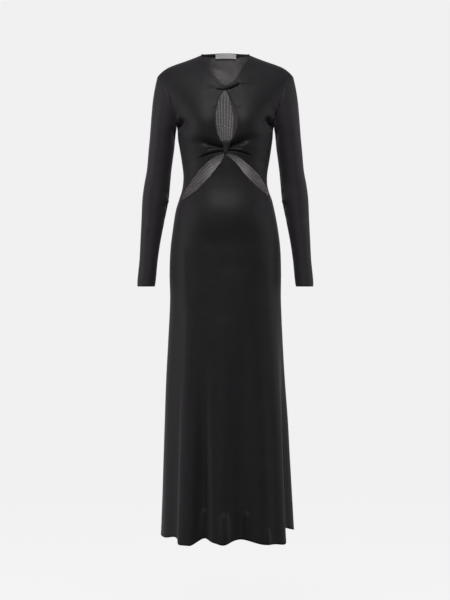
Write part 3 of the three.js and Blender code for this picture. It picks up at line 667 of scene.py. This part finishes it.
KNIT = knit_group()
DYE = dye_group()
WALE, COURSE = 0.0009, 0.0007          # pitch of the knit on its face, in metres
RIB, RIB_STITCH = 0.0066, 0.0072       # and of the coarser ribs on its wrong side
RIBS_OPEN = (0.09, 0.118)              # these begin at the foot of the neck, where the cloth is tight
WAIST_PAINTED_LIGHT = (0.27, 0.33)              # and the wrong side is painted lighter over the waist: painted light, where the cut-outs get little light
DYE_SIZE = 0.055
SHEEN = {"rough": 0.45, "tint": (0.54, 0.48, 0.54, 1)}
# dark and light are the dye's random tones; edge is a painted shade, the dark line where a turned edge rolls
# under
FACE_DYE_TONES_AND_EDGE_SHADE = {"dark": 0.72, "light": 1.3, "edge": 0.15}
# The first pair is the ribs' dark and light on the wrong side; the second pair paints light onto the wrong
# side over the waist
WRONG_SHADES = {"loose": (0.42, 1.45), "painted_lit": (2.95, 5.3), "unribbed": 0.75}
STITCH_DEPTH = {"wrong": 0.7, "face": 0.3}
FACE_RELIEF = 0.06
ROUGH_SPREAD = 0.16


def grouped(tree, group, **values):
    node = tree.nodes.new("ShaderNodeGroup")
    node.node_tree = group
    set_inputs(node, **values)
    return node


# Rises softly from 0 to 1 between two places
def smooth_range(tree, value, start, end):
    node = tree.nodes.new("ShaderNodeMapRange")
    node.interpolation_type = "SMOOTHSTEP"
    set_inputs(node, From_Min=start, From_Max=end)
    tree.links.new(value, node.inputs["Value"])
    return node.outputs["Result"]


# New material, its node tree, its shader and the place in the cloth
def cloth_material(name):
    material = bpy.data.materials.new(name)
    material.use_nodes = True
    tree = material.node_tree
    place = tree.nodes.new("ShaderNodeAttribute")
    place.attribute_name = "cloth"
    return material, tree, tree.nodes["Principled BSDF"], place.outputs["Vector"]


def raise_bumps(tree, shader, height, strength=0.6, distance=0.0012):
    bump = add_node(tree, "ShaderNodeBump", Strength=strength, Distance=distance)
    tree.links.new(height, bump.inputs["Height"])
    tree.links.new(bump.outputs["Normal"], shader.inputs["Normal"])


# Jersey: fine upright wales on its face, and lighter, coarser ribs on its wrong side. A painted shade
# darkens its turned edges, and painted light brightens its wrong side over the waist.
def jersey(name, base, wrong_side, rough=0.5, sheen=0.18):
    material, tree, shader, place = cloth_material(name)
    set_inputs(shader, Specular_IOR_Level=0.16, Sheen_Weight=sheen)
    set_inputs(shader, Sheen_Roughness=SHEEN["rough"], Sheen_Tint=SHEEN["tint"])
    split = tree.nodes.new("ShaderNodeSeparateXYZ")
    tree.links.new(place, split.inputs[0])
    wrong = split.outputs["Z"]
    dye = grouped(tree, DYE, Size=DYE_SIZE).outputs["Depth"]
    fine = grouped(tree, KNIT, Rib_Pitch=WALE, Stitch_Pitch=COURSE, Wander=0.0002)
    coarse = grouped(tree, KNIT, Rib_Pitch=RIB, Stitch_Pitch=RIB_STITCH, Wander=0.006)
    for knit in (fine, coarse):
        tree.links.new(place, knit.inputs["Place"])
    dark, light, turned = (shade(base, FACE_DYE_TONES_AND_EDGE_SHADE[key]) for key in ("dark", "light", "edge"))
    face_colour = mixed_colour(tree, dye, dark, light)
    # Painted shade: where "cloth" is -1, along the turned edges, the face is painted nearly black as if
    # shadowed by the roll
    face_colour = mixed_colour(tree, math_node(tree, "MULTIPLY", wrong, -1), face_colour, turned)
    deep = STITCH_DEPTH["wrong"]
    stitched = math_node(tree, "MULTIPLY_ADD", coarse.outputs["Stitch"], deep, 1 - deep)
    ribbed = math_node(tree, "MULTIPLY", coarse.outputs["Rib"], stitched)
    tight = smooth_range(tree, split.outputs["Y"], *RIBS_OPEN)
    ribbed = mixed_value(tree, tight, math_node(tree, "MULTIPLY", dye, WRONG_SHADES["unribbed"]), ribbed)
    loose, painted_lit = (
        mixed_colour(tree, ribbed, *(shade(wrong_side, amount) for amount in WRONG_SHADES[key]))
        for key in ("loose", "painted_lit")
    )
    # Painted light: over the waist the wrong side is painted several times lighter, to stand for light the
    # cut-outs don't let in
    wrong_colour = mixed_colour(tree, smooth_range(tree, split.outputs["Y"], *WAIST_PAINTED_LIGHT), loose, painted_lit)
    colour = mixed_colour(tree, wrong, face_colour, wrong_colour)
    tree.links.new(colour, shader.inputs["Base Color"])
    roughness = math_node(tree, "MULTIPLY_ADD", dye, ROUGH_SPREAD, rough - ROUGH_SPREAD / 2)
    tree.links.new(roughness, shader.inputs["Roughness"])
    stitches, ribs = fine.outputs["Stitch"], fine.outputs["Rib"]
    wales = math_node(tree, "MULTIPLY_ADD", stitches, STITCH_DEPTH["face"], ribs)
    wales = math_node(tree, "MULTIPLY", wales, FACE_RELIEF)
    raise_bumps(tree, shader, mixed_value(tree, wrong, wales, ribbed))
    return material


JERSEY_FACE = (0.0096, 0.0084, 0.0097)
JERSEY_WRONG = (0.21, 0.2, 0.206)
jersey_black = jersey("black jersey", JERSEY_FACE, JERSEY_WRONG)


def finish_piece(piece, material, node):
    piece.data.materials.append(material)
    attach(piece, "root")
    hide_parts(node)


# Grid pushed out by its creases, and the outer and inner faces of the cloth on it
def creased(grid, normals, soft, lift):
    grid = grid + normals * soft[..., None]
    return grid, (grid + normals * lift[..., None], grid - normals * CLOTH)


FRONT_SEEN = (5, 5, 1)      # a place where each front piece faces the front, and the axis of depth


def front_bodice(side):
    steps = BODICE_STEPS
    keyhole = edge_line(KEYHOLE_EDGE, side, side, steps["keyhole"])
    centre = chain(
        edge_line(NECK_EDGE, side, side, steps["neck"], TOP_CROWDING),
        upright(side, V_FOOT, KEYHOLE_TOP, steps["join"]),
        keyhole,
        smooth_line([keyhole[-1], (sign_of(side) * HALF_SEAM, KEYHOLE_BOTTOM)], steps["floor"]),
        upright(side, KEYHOLE_BOTTOM, GATHER_END, steps["gather"]),
    )
    outside = chain(armhole(side, "front"), side_seam(side, ARMPIT_DOWN, WAIST_POINT_DOWN, steps["side"]))
    shoulder = edge_line(SHOULDER_LINE, side, "half", steps["across"])
    cut = edge_line(CUT_UPPER, side, side, steps["across"], down=f"down_{side}")
    angle, down = patch(shoulder, cut, centre, outside)
    grid = body_points("front", angle, down)
    neck, join = steps["neck"], steps["join"]
    floor_end = neck + join + steps["keyhole"] + steps["floor"]
    flat = [
        (0, slice(None), 1),
        (slice(steps["armhole"], None), -1, 1),
        (slice(neck, neck + join + 1), 0, 0),
        (slice(floor_end, None), 0, 0),
    ]
    normals = grid_normals(grid, FRONT_SEEN, -1, flat=flat)
    edge = edge_distances(grid)
    row = np.arange(grid.shape[0])[:, None]
    centre_free = ((row < neck) | ((row > neck + join) & (row < floor_end))).astype(float)
    lift = turned_edge(edge["bottom"]) + seam_sink(edge["top"]) + seam_sink(edge["last"])
    lift = lift + centre_free * turned_edge(edge["first"])
    soft = creases(FRONT_CREASES, grid[..., 0], down) * clear_of(edge["last"], edge["top"])
    free = {"bottom": 1, "first": centre_free[:0:-1, 0]}
    grid, faces = creased(grid, normals, soft, lift)
    piece = shell(f"front_bodice_{side}", *faces, (angle * AROUND_PER_DEGREE, down), free)
    finish_piece(piece, jersey_black, f"bodice_front_{side}")
    return grid, normals


bodices = {side: front_bodice(side) for side in SIDES}

# Keyhole facing. A strip of the same jersey sewn behind the right edge of the keyhole. Its free edge
# curls inward, so that a smooth band of it shows inside the opening.
FACING = columns(
    "down free",
    (114, 0.6),
    (128, 2.4),
    (146, 6.5),
    (170, 11.5),
    (198, 14),
    (228, 12.5),
    (248, 6),
    (260, 1),
)
FACING_THICK = 0.9
FACING_DEPTH = CLOTH + 0.45
FACING_CURL = {"sink": 5, "power": 1.74}
FACING_BEHIND = {"wide": 7, "deeper": 0.5}
FACING_WIDE = 14
FACING_INSET = {"top": 2, "bottom": 1}       # rows of the bodice's grid that the facing stays clear of
FACING_COLUMNS = np.concatenate([np.linspace(1, 0, 15), -np.linspace(0, 1, 7)[1:]])

trim_wrong = shade(JERSEY_WRONG, 0.3)
# Painted light: the trim of the loop and binding is the same black jersey painted 1.9 times lighter, to
# offset the shade it sits in
trim_black_painted_lighter = jersey("black jersey trim", shade(JERSEY_FACE, 1.9), trim_wrong, rough=0.6, sheen=0.2)
# Painted light: the facing is the same black jersey painted 3.6 times lighter, as if lit where it curls into
# shade
facing_jersey_painted_lighter = jersey("black jersey facing", shade(JERSEY_FACE, 3.6), trim_wrong, rough=0.6, sheen=0.3)


# Shell along one side of a grid of points, with all its edges turned
def strip(name, grid, normals, thick, around):
    steps = np.linalg.norm(np.diff(grid, axis=0), axis=-1).mean(1)
    along = np.concatenate([[0], np.cumsum(steps)])
    place = np.broadcast_arrays(np.asarray(around, float)[None, :], along[:, None])
    return shell(name, grid, grid - normals * thick, place, ALL_TURNED)


def keyhole_facing():
    grid, normals = bodices["right"]
    start = BODICE_STEPS["neck"] + BODICE_STEPS["join"]
    rows = slice(start + FACING_INSET["top"], start + BODICE_STEPS["keyhole"] - FACING_INSET["bottom"])
    edge, normal = grid[rows, 0], normals[rows, 0]
    away = grid[rows, 0] - grid[rows, 3]
    away /= np.linalg.norm(away, axis=1, keepdims=True)
    free = read(FACING, "down", "free", -edge[:, 2])
    lines = []
    for part in FACING_COLUMNS:
        reach = free * part if part > 0 else np.full_like(free, FACING_BEHIND["wide"] * part)
        curl = FACING_CURL["sink"] * free / FACING["free"].max() * max(part, 0) ** FACING_CURL["power"]
        depth = FACING_DEPTH + curl + FACING_BEHIND["deeper"] * max(-part, 0)
        lines.append(edge + away * reach[:, None] - normal * depth[:, None])
    facing = np.stack(lines, 1)
    around = FACING_COLUMNS * FACING_WIDE
    piece = strip("facing_of_keyhole", facing, grid_normals(facing, (20, 12, 1), -1), FACING_THICK, around)
    finish_piece(piece, facing_jersey_painted_lighter, "keyhole_facing")


keyhole_facing()

# Twist. The two bodices cross at the foot of the V in a soft roll of jersey, which covers the seam
# that joins them there. The cloth passes under its right end in a deep fold.
TWIST = columns(
    "at down tall thick",
    (-27, 109, 2.5, 1.0),
    (-16, 109, 5.5, 1.2),
    (-4, 108, 9, 2.6),
    (8, 105.5, 10, 4.4),
    (20, 101, 10, 4.6),
    (30, 97, 7, 3.4),
    (40, 93, 2.5, 1.2),
)
TWIST_STEPS = (84, 26)
TWIST_LIFT = 0.75
TWIST_ROUND = 1.5
TWIST_MIDDLE = 8
TWIST_GROOVES = columns(
    "start turn deep wide",
    (-0.45, 0.016, 0.198, 0.13),
    (0.1, 0.02, 0.286, 0.12),
    (0.62, 0.012, 0.198, 0.1),
)


def neck_twist():
    x = np.linspace(TWIST["at"][0], TWIST["at"][-1], TWIST_STEPS[0])[None, :]
    across = np.linspace(-0.5, 0.5, TWIST_STEPS[1])[:, None]
    down = read(TWIST, "at", "down", x) + across * read(TWIST, "at", "tall", x)
    x = np.broadcast_to(x, down.shape)
    grid = body_points("front", angle_at(x, down), down)
    normals = grid_normals(grid, FRONT_SEEN, -1)
    low = 2 * (across + 0.5) ** TWIST_ROUND - 1
    height = read(TWIST, "at", "thick", x) * np.sqrt(np.clip(1 - low**2, 0, 1))
    for groove in rows_of(TWIST_GROOVES):
        line = groove["start"] + groove["turn"] * (x - TWIST_MIDDLE)
        height = height * (1 - groove["deep"] * bell(2 * across - line, groove["wide"]))
    inner = grid + normals * (TWIST_LIFT + height)[..., None]
    piece = shell("twist_at_the_v", inner + normals * CLOTH, inner, (x, down), ALL_TURNED)
    finish_piece(piece, jersey_black, "neck_twist")


neck_twist()

# Front skirt. One length of the same jersey, cut to a point at its top centre that is caught under
# the loop, with turned edges along the waist cut-outs and at the hem. It hangs in soft folds.
SKIRT_TOP = 303
SKIRT_CORNER = WAIST_POINT_DOWN + 0.7
CUT_LOWER = columns(
    "left right down_left down_right",
    (3.5, 3.5, SKIRT_TOP, SKIRT_TOP),
    (12.5, 22, 325, 323),
    (29.7, 44, 353, 356),
    (48.8, 63, 380.5, 379),
    (72.5, 89.6, 406.5, 402),
    (105, 118, 426, 419),
    (WAIST_POINT_HALF, WAIST_POINT_HALF, SKIRT_CORNER, SKIRT_CORNER),
)
SKIRT_STEPS = {"across": 234, "down": 180}


def hem_line(steps):
    angle = np.linspace(-90, 90, steps + 1)
    x = side_width(angle, HEM_DOWN) * np.sin(np.radians(angle))
    return np.stack([x, np.full(steps + 1, HEM_DOWN)], -1)


def front_skirt():
    half = SKIRT_STEPS["across"] // 2
    left, right = (edge_line(CUT_LOWER, side, side, half, down=f"down_{side}") for side in SIDES)
    top = np.vstack([left[:0:-1], [(0, SKIRT_TOP)], right[1:]])
    first, last = (side_seam(side, SKIRT_CORNER, HEM_DOWN, SKIRT_STEPS["down"]) for side in SIDES)
    angle, down = patch(top, hem_line(SKIRT_STEPS["across"]), first, last)
    grid = body_points("front", angle, down)
    seams = [(slice(None), column, 1) for column in (0, -1)]
    normals = grid_normals(grid, (9, half, 1), -1, flat=seams)
    edge = edge_distances(grid)
    lift = turned_edge(edge["top"]) + turned_edge(edge["bottom"])
    lift = lift + seam_sink(edge["first"]) + seam_sink(edge["last"])
    soft = creases(SKIRT_CREASES, grid[..., 0], down) * clear_of(edge["first"], edge["last"])
    grid, faces = creased(grid, normals, soft, lift)
    piece = shell("front_skirt", *faces, (angle * AROUND_PER_DEGREE, down), {"top": 1, "bottom": 1})
    finish_piece(piece, jersey_black, "skirt_front")


front_skirt()

# Loop. A tapered strip of doubled jersey that joins the skirt's point, runs up over the gathered centre
# and is caught down behind it, so that the bodices stay bunched.
LOOP = columns(
    "down half out over middle",
    (SKIRT_TOP - SEAM_GAP, 3.6, 0, 0, 0),
    (296.5, 4.0, 2.3, 0, 0.5),
    (289, 4.8, 2.6, 0, 1.6),
    (281, 6.8, 3.0, 0, 2.4),
    (273, 9.4, 4.0, 0, 3.4),
    (266, 11, 4.5, 0, 4),
    (266, 11, 3.6, 3, 4),
    (266, 11, -2.4, 5.6, 4),
    (266, 9, -8.5, 3, 4),
    (266, 6, -10.5, 0, 3),
    (290, 4, -11.5, 0, 1),
)
LOOP_STEPS = (72, 24)
LOOP_HALF_WIDE = 8
LOOP_CROWN = {"out": 1.0, "end": (290, 302)}
LOOP_FOLD = {
    "from_to": (280, 302),
    "side": (0.75, -0.45),
    "in": 1.5,
    "wide": 0.13,
    "start": (268, 284),
    "end": (300, 303),
}


def centre_loop():
    table = np.stack(list(LOOP.values()), -1)
    down, half, out, over, middle = (v[:, None] for v in smooth_line(table, LOOP_STEPS[0]).T)
    across = np.linspace(-1, 1, LOOP_STEPS[1])[None, :]
    base = body_points("front", np.zeros_like(down), down)
    front = ease(out, -2, 1)
    fall = ease(down, *LOOP_FOLD["from_to"])
    line = LOOP_FOLD["side"][0] * (1 - fall) + LOOP_FOLD["side"][1] * fall
    fold = LOOP_FOLD["in"] * bell(across - line, LOOP_FOLD["wide"]) * ease(down, *LOOP_FOLD["start"]) * front
    crown = LOOP_CROWN["out"] * (1 - across**2) * front * (1 - ease(down, *LOOP_CROWN["end"]))
    y = base[..., 1] - out - (crown - fold * (1 - ease(down, *LOOP_FOLD["end"])))
    z = base[..., 2] + over + np.zeros_like(y)
    grid = np.stack([middle + across * half, y, z], -1)
    normals = grid_normals(grid, (10, 12, 1), -1)
    around = np.linspace(-LOOP_HALF_WIDE, LOOP_HALF_WIDE, LOOP_STEPS[1])
    piece = strip("loop_round_the_gathers", grid, normals, CLOTH, around)
    finish_piece(piece, trim_black_painted_lighter, "centre_loop")


centre_loop()

# Back. One panel from the neck to the hem, cut in the same jersey and sewn to the fronts and sleeves.
# Its wrong side shows through the neck, the keyhole and the cut-outs.
BACK_NECK_RISE = 17
BACK_NECK_POWER = 3
BACK_WAIST_END = 460
# The ribs lean out and spread over the waist, where the cloth is drawn towards the sides
DRAG = {
    "from_to": (280, 310),
    "until": (450, 500),
    "slant": 1.0,
    "middle": 25,
    "across": 0.95,
    "spread": 0.36,
}
BACK_STEPS = {"shoulder": 48, "neck": 80, "armhole": 80, "waist": 86, "skirt": 90}


def back_panel():
    steps = BACK_STEPS
    x = NECK_HALF * np.sin(np.radians(np.linspace(-90, 90, steps["neck"] + 1)))
    neck = np.stack([x, -BACK_NECK_RISE * (1 - np.abs(x / NECK_HALF) ** BACK_NECK_POWER)], -1)
    left, right = (edge_line(SHOULDER_LINE, side, "half", steps["shoulder"]) for side in SIDES)
    top = chain(left[::-1], neck, right)
    first, last = (
        chain(
            armhole(side, "back"),
            side_seam(side, ARMPIT_DOWN, BACK_WAIST_END, steps["waist"]),
            side_seam(side, BACK_WAIST_END, HEM_DOWN, steps["skirt"]),
        )
        for side in SIDES
    )
    angle, down = patch(top, hem_line(len(top) - 1), first, last)
    grid = body_points("back", angle, down)
    shoulder = steps["shoulder"]
    flat = [(0, slice(0, shoulder + 1), 1), (0, slice(-shoulder - 1, None), 1)]
    flat += [(slice(steps["armhole"], None), column, 1) for column in (0, -1)]
    normals = grid_normals(grid, (9, len(top) // 2, 1), 1, flat=flat)
    edge = edge_distances(grid)
    column = np.arange(len(top))[None, :]
    on_shoulder = ((column <= shoulder) | (column >= len(top) - 1 - shoulder)).astype(float)
    lift = turned_edge(edge["bottom"]) + seam_sink(edge["first"]) + seam_sink(edge["last"])
    lift = lift + on_shoulder * seam_sink(edge["top"])
    soft = creases(BACK_CREASES, grid[..., 0], down) * clear_of(edge["first"], edge["last"], edge["top"])
    grid, faces = creased(grid, normals, soft, lift)
    pull = ease(down, *DRAG["from_to"]) * (1 - ease(down, *DRAG["until"]))
    drag = -DRAG["slant"] * np.tanh(grid[..., 0] / DRAG["middle"]) * (down - DRAG["from_to"][0]) * pull
    level = angle * AROUND_PER_DEGREE * (1 - pull) + DRAG["across"] * grid[..., 0] * pull
    around = (level + drag) * (1 - DRAG["spread"] * pull)
    piece = shell("back", *faces, (around, down), {"bottom": 1})
    finish_piece(piece, jersey_black, "back_panel")
    return grid, normals


back_grid, back_normals = back_panel()

# Back neck binding. A narrow strip of jersey folded over the back neck edge and stitched down.
BINDING = {"clear": 0.3, "thick": 0.9, "outside": 8, "inside": 8}
BINDING_STEPS = {"along": 90, "outside": 7, "turn": 13, "inside": 6}
BINDING_INSET = 8               # columns of the back grid from the neck's ends to the binding's ends
NECK_ROWS = 14


# Point at a column of the back panel, a distance below its neck edge and a distance out of it
def near_neck(column, below, out):
    ends = []
    for i in (int(column), min(int(column) + 1, back_grid.shape[1] - 1)):
        line, square = back_grid[:NECK_ROWS, i], back_normals[:NECK_ROWS, i]
        along = np.concatenate([[0], np.cumsum(np.linalg.norm(np.diff(line, axis=0), axis=1))])
        j = int(np.clip(np.searchsorted(along, below) - 1, 0, len(line) - 2))
        t = (below - along[j]) / (along[j + 1] - along[j])
        normal = square[j] + (square[j + 1] - square[j]) * max(t, 0)
        ends.append(line[j] + (line[j + 1] - line[j]) * t + normal / np.linalg.norm(normal) * out)
    return ends[0] + (ends[1] - ends[0]) * (column - int(column))


def neck_binding():
    sizes = BINDING
    steps = BINDING_STEPS
    turn = np.linspace(0, np.pi, steps["turn"])
    rings = []
    for radius in (CLOTH / 2 + sizes["clear"] + sizes["thick"], CLOTH / 2 + sizes["clear"]):
        outside = [(radius, below) for below in np.linspace(sizes["outside"], 0, steps["outside"])[:-1]]
        over = [(radius * math.cos(a), -radius * math.sin(a)) for a in turn]
        inside = [(-radius, below) for below in np.linspace(0, sizes["inside"], steps["inside"])[1:]]
        rings.append([(out - CLOTH / 2, below) for out, below in outside + over + inside])
    first = BACK_STEPS["shoulder"] + BINDING_INSET
    at = np.linspace(first, first + BACK_STEPS["neck"] - 2 * BINDING_INSET, steps["along"])
    grids = [np.array([[near_neck(c, below, out) for c in at] for out, below in ring]) for ring in rings]
    place = np.broadcast_arrays(grids[0][..., 0], np.arange(len(rings[0]))[:, None] * 1.0)
    piece = shell("binding_of_back_neck", *grids, place, ALL_TURNED)
    finish_piece(piece, trim_black_painted_lighter, "back_neck_binding")


neck_binding()

# Neck label. A blank white satin tab, its ends turned under, stitched inside the back neck.
LABEL = {
    "tall": 14,
    "over": 0.4,
    "thick": 0.55,
    "lift": 0.35,
    "columns": (-10.72, 11.84),
    "end": 0.35,
    "end_wide": 0.08,
    "end_soft": 0.015,
    "curl": 0.5,
    "curl_power": 6,
    "curl_middle": 0.2,
}
LABEL_STEPS = (24, 64)


def woven_label_material():
    material, tree, shader, place = cloth_material("white woven label")
    set_inputs(shader, Specular_IOR_Level=0.35, Sheen_Weight=0.1)
    weave = grouped(tree, KNIT, Rib_Pitch=0.0006, Stitch_Pitch=0.0005, Wander=0.0001)
    tree.links.new(place, weave.inputs["Place"])
    dye = grouped(tree, DYE, Size=0.02).outputs["Depth"]
    threads = math_node(tree, "MULTIPLY", weave.outputs["Rib"], weave.outputs["Stitch"])
    colour = mixed_colour(tree, threads, (0.82, 0.815, 0.8), (0.9, 0.895, 0.885))
    tree.links.new(colour, shader.inputs["Base Color"])
    tree.links.new(math_node(tree, "MULTIPLY_ADD", dye, 0.2, 0.45), shader.inputs["Roughness"])
    raise_bumps(tree, shader, threads, strength=0.4, distance=0.0001)
    return material


def neck_label():
    middle = BACK_STEPS["shoulder"] + BACK_STEPS["neck"] / 2
    u = np.linspace(0, 1, LABEL_STEPS[1])
    inside = CLOTH + BINDING["clear"] + BINDING["thick"] + LABEL["lift"]
    at = middle + np.linspace(*LABEL["columns"], LABEL_STEPS[1])
    from_end = LABEL["end_wide"] - np.minimum(u, 1 - u)
    turned = LABEL["end"] * ease(from_end, -LABEL["end_soft"], LABEL["end_soft"])
    rows = []
    for v in np.linspace(0, 1, LABEL_STEPS[0]):
        curl = LABEL["curl"] * v**3 * (np.abs(2 * u - 1) ** LABEL["curl_power"] + LABEL["curl_middle"])
        below = LABEL["tall"] * v - LABEL["over"]
        rows.append([near_neck(c, below, -inside - deep) for c, deep in zip(at, turned + curl)])
    grid = np.array(rows)
    normals = grid_normals(grid, FRONT_SEEN, -1)
    piece = strip("blank_neck_label", grid, normals, -LABEL["thick"], grid[0, :, 0])
    finish_piece(piece, woven_label_material(), "neck_label")


neck_label()

# Sleeves. Each is one tube of jersey with a seam under the arm, set into the armhole and narrowing to a
# turned cuff. It hangs a little forward and bends softly at the elbow.
SLEEVE = columns(
    "place out out_down inn inn_down deep at",
    (0, SHOULDER_HALF, SHOULDER_DROP, ARMPIT_HALF, ARMPIT_DOWN, 45, 3),
    (1, 204, 79, 143.2, 214.5, 46, 3),
    (2, 209, 103, 143.8, 217.5, 47, 4),
    (3, 214, 136, 144.6, 221, 47.5, 4),
    (4, 217.7, 175, 145.4, 226, 47.5, 5),
    (5, 220.5, 212, 146.2, 232, 47, 5),
    (6, 223, 244, 147.5, 244, 46.5, 6),
    (7, 226.2, 277, 150.8, 277, 45.5, 6),
    (8, 231.4, 336, 158.6, 336, 43, 6),
    (9, 239.3, 381, 162.7, 381, 41.5, 4),
    (10, 244.5, 425, 166.9, 425, 40.5, 0),
    (11, 246.5, 484, 177.9, 484, 36, -8),
    (12, 248.9, 543, 189.1, 543, 32, -17),
    (13, 251.3, 602, 197.5, 602, 29.5, -26),
    (14, 256.5, 661, 202.7, 661, 28, -35),
    (15, 256, 680, 206, 680, 27.5, -38),
)
CAP_PLACES = 6
SLEEVE_AROUND = 1.6        # cloth round the sleeve for each step, counted from the middle of its front
# Creases of a sleeve, by the distance round it from the middle of its front, outwards below zero
SLEEVE_CREASES = columns(
    CREASE,
    (62, 246, 20, 214, -3, -2.6, 5, 1.0),
    (66, 262, 30, 240, -3, -2, 5, 1.2),
    (60, 232, 8, 190, -4, 1.6, 7, 1.0),
    (66, 420, 14, 402, -5, -3, 5, 1.2),
    (66, 446, 8, 452, -5, -3.2, 5, 1.2),
    (64, 432, 24, 428, -3, 2, 6, 1.0),
    (70, 474, 26, 494, -4, -2, 6, 1.2),
    (-52, 470, -10, 500, 5, -1.8, 6, 1.4),
    (118, 404, 78, 424, 4, -2.4, 6, 1.0),
    (122, 452, 80, 448, -4, -2.6, 6, 1.0),
    (60, 596, 26, 610, -3, -1.4, 5, 1.0),
    (-46, 632, -8, 644, 3, -1.2, 5, 1.0),
    (130, 130, 176, 168, -6, -2, 7, 1.0),
    (104, 210, 150, 180, 6, -2.4, 6, 1.0),
)
SLEEVE_STEPS = {"cap": 60, "arm": 130}


# Painted light: the sleeves are the same black jersey painted 1.75 times lighter, so their sides turned to
# the body fall less dark
sleeve_jersey_painted_lighter = jersey("black jersey of the sleeves", shade(JERSEY_FACE, 1.75), JERSEY_WRONG, sheen=0.24)


def sleeve_rings(side, place):
    row = {key: read(SLEEVE, "place", key, place) for key in SLEEVE if key != "place"}
    sign = sign_of(side)
    outer = np.stack([sign * row["out"], row["at"], -row["out_down"]], -1)
    inner = np.stack([sign * row["inn"], row["at"], -row["inn_down"]], -1)
    turn = np.pi * np.arange(2 * BODICE_STEPS["armhole"]) / BODICE_STEPS["armhole"]
    middle, half = (outer + inner) / 2, (outer - inner) / 2
    rings = middle[:, None] + half[:, None] * np.cos(turn)[None, :, None]
    rings[..., 1] -= row["deep"][:, None] * np.sin(turn)[None]
    return rings


def sleeve(side):
    last = len(SLEEVE["place"]) - 1
    cap = np.linspace(0, CAP_PLACES, SLEEVE_STEPS["cap"] + 1)
    place = np.concatenate([cap, np.linspace(CAP_PLACES, last, SLEEVE_STEPS["arm"] + 1)[1:]])
    grid = sleeve_rings(side, place)
    edges = (("front", armhole(side, "front")), ("back", armhole(side, "back")[-2:0:-1]))
    seam = np.vstack([body_points(panel, angle_at(*line.T), line[:, 1]) for panel, line in edges])
    keep = 1 - ease(place, 0, CAP_PLACES)
    grid = grid + (seam - grid[0])[None] * keep[:, None, None]
    grid[..., 0] += sign_of(side) * SEAM_GAP
    normals = grid_normals(grid, (-1, 0, 0), sign_of(side), closed=True)
    normals[0, :, 0] = 0
    normals[0] /= np.linalg.norm(normals[0], axis=-1, keepdims=True)
    edge = edge_distances(grid)
    lift = seam_sink(edge["top"]) + turned_edge(edge["bottom"])
    around = np.broadcast_to((np.arange(grid.shape[1]) - grid.shape[1] / 4) * SLEEVE_AROUND, grid.shape[:2])
    soft = creases(SLEEVE_CREASES, around, -grid[..., 2]) * clear_of(edge["top"])
    grid, faces = creased(grid, normals, soft, lift)
    piece = shell(f"sleeve_of_jersey_{side}", *faces, (around, -grid[..., 2]), closed=True)
    finish_piece(piece, sleeve_jersey_painted_lighter, f"sleeve_{side}")


for side in SIDES:
    sleeve(side)

# Studio. A round pale cove, two tall soft lights at the sides, one high in front, a weak one behind the
# camera, and the camera.
FLOOR = -1.9
PAINT_GLOW = {"seen": 0.845, "cast": 0.19}     # the cove as the camera sees it, and as it lights the dress
COVE = [(0.0, FLOOR), (7.0, FLOOR), (8.2, FLOOR + 0.25), (9.0, FLOOR + 1.0), (9.3, FLOOR + 2.2), (9.3, 7.0)]
COVE_STEPS = (40, 96)


def studio_cove():
    profile = smooth_line(COVE, COVE_STEPS[0])
    turn = np.linspace(0, 2 * np.pi, COVE_STEPS[1] + 1)[:-1]
    away, height = profile[:, None, 0], profile[:, None, 1]
    points = np.stack(np.broadcast_arrays(away * np.cos(turn), away * np.sin(turn), height), -1)
    rows, cols = points.shape[:2]
    number = np.arange(rows * cols).reshape(rows, cols)
    nxt = np.roll(number, -1, 1)
    faces = np.stack([number[:-1], nxt[:-1], nxt[1:], number[1:]], -1).reshape(-1, 4)
    mesh = bpy.data.meshes.new("pale_floor")
    mesh.from_pydata(points.reshape(-1, 3).tolist(), [], faces.tolist())
    mesh.shade_smooth()
    floor = add_object("pale_floor", mesh)
    paint = bpy.data.materials.new("pale studio paint")
    paint.use_nodes = True
    tree = paint.node_tree
    shader = tree.nodes["Principled BSDF"]
    set_inputs(shader, Base_Color=(0.1, 0.0995, 0.1, 1), Roughness=1, Specular_IOR_Level=0)
    set_inputs(shader, Emission_Color=(1, 0.995, 1, 1))
    path = tree.nodes.new("ShaderNodeLightPath")
    seen, cast = PAINT_GLOW["seen"], PAINT_GLOW["cast"]
    glow = math_node(tree, "MULTIPLY_ADD", path.outputs["Is Camera Ray"], seen - cast, cast)
    tree.links.new(glow, shader.inputs["Emission Strength"])
    mesh.materials.append(paint)


studio_cove()


def soft_light(name, place, aim, size, power):
    data = bpy.data.lights.new(name, "AREA")
    data.shape = "RECTANGLE"
    data.size, data.size_y = size
    data.energy = power
    light = add_object(name, data)
    light.location = place
    light.rotation_euler = (Vector(aim) - Vector(place)).to_track_quat("-Z", "Y").to_euler()
    light.visible_camera = False


soft_light("left soft light", (-3.6, -0.6, -0.3), (0, 0, -0.8), (1.0, 3.0), 44)
soft_light("right soft light", (3.6, -0.1, -0.3), (0, 0, -0.8), (1.0, 3.0), 26)
soft_light("high soft light", (-0.2, -3.0, 2.8), (0, 0, -0.4), (1.8, 1.3), 132)
soft_light("front soft light", (-0.3, -4.6, -0.9), (0, 0, -0.7), (1.2, 1.6), 12)

world = bpy.data.worlds.new("studio air")
world.use_nodes = True
set_inputs(world.node_tree.nodes["Background"], Color=(0.9, 0.9, 0.9, 1), Strength=0.44)
bpy.context.scene.world = world
bpy.context.scene.view_settings.view_transform = "Standard"

CAMERA_AWAY = 4.0
VIEW_TALL = 1.77           # height of the view at the shoulders' depth
VIEW_CENTRE = (-0.001, -0.72)
view = bpy.data.cameras.new("camera")
view.sensor_fit = "VERTICAL"
view.angle = 2 * math.atan(VIEW_TALL / 2 / CAMERA_AWAY)
camera = add_object("camera", view)
camera.location = (VIEW_CENTRE[0], -CAMERA_AWAY, VIEW_CENTRE[1])
camera.rotation_euler = (math.pi / 2, 0, 0)
bpy.context.scene.camera = camera
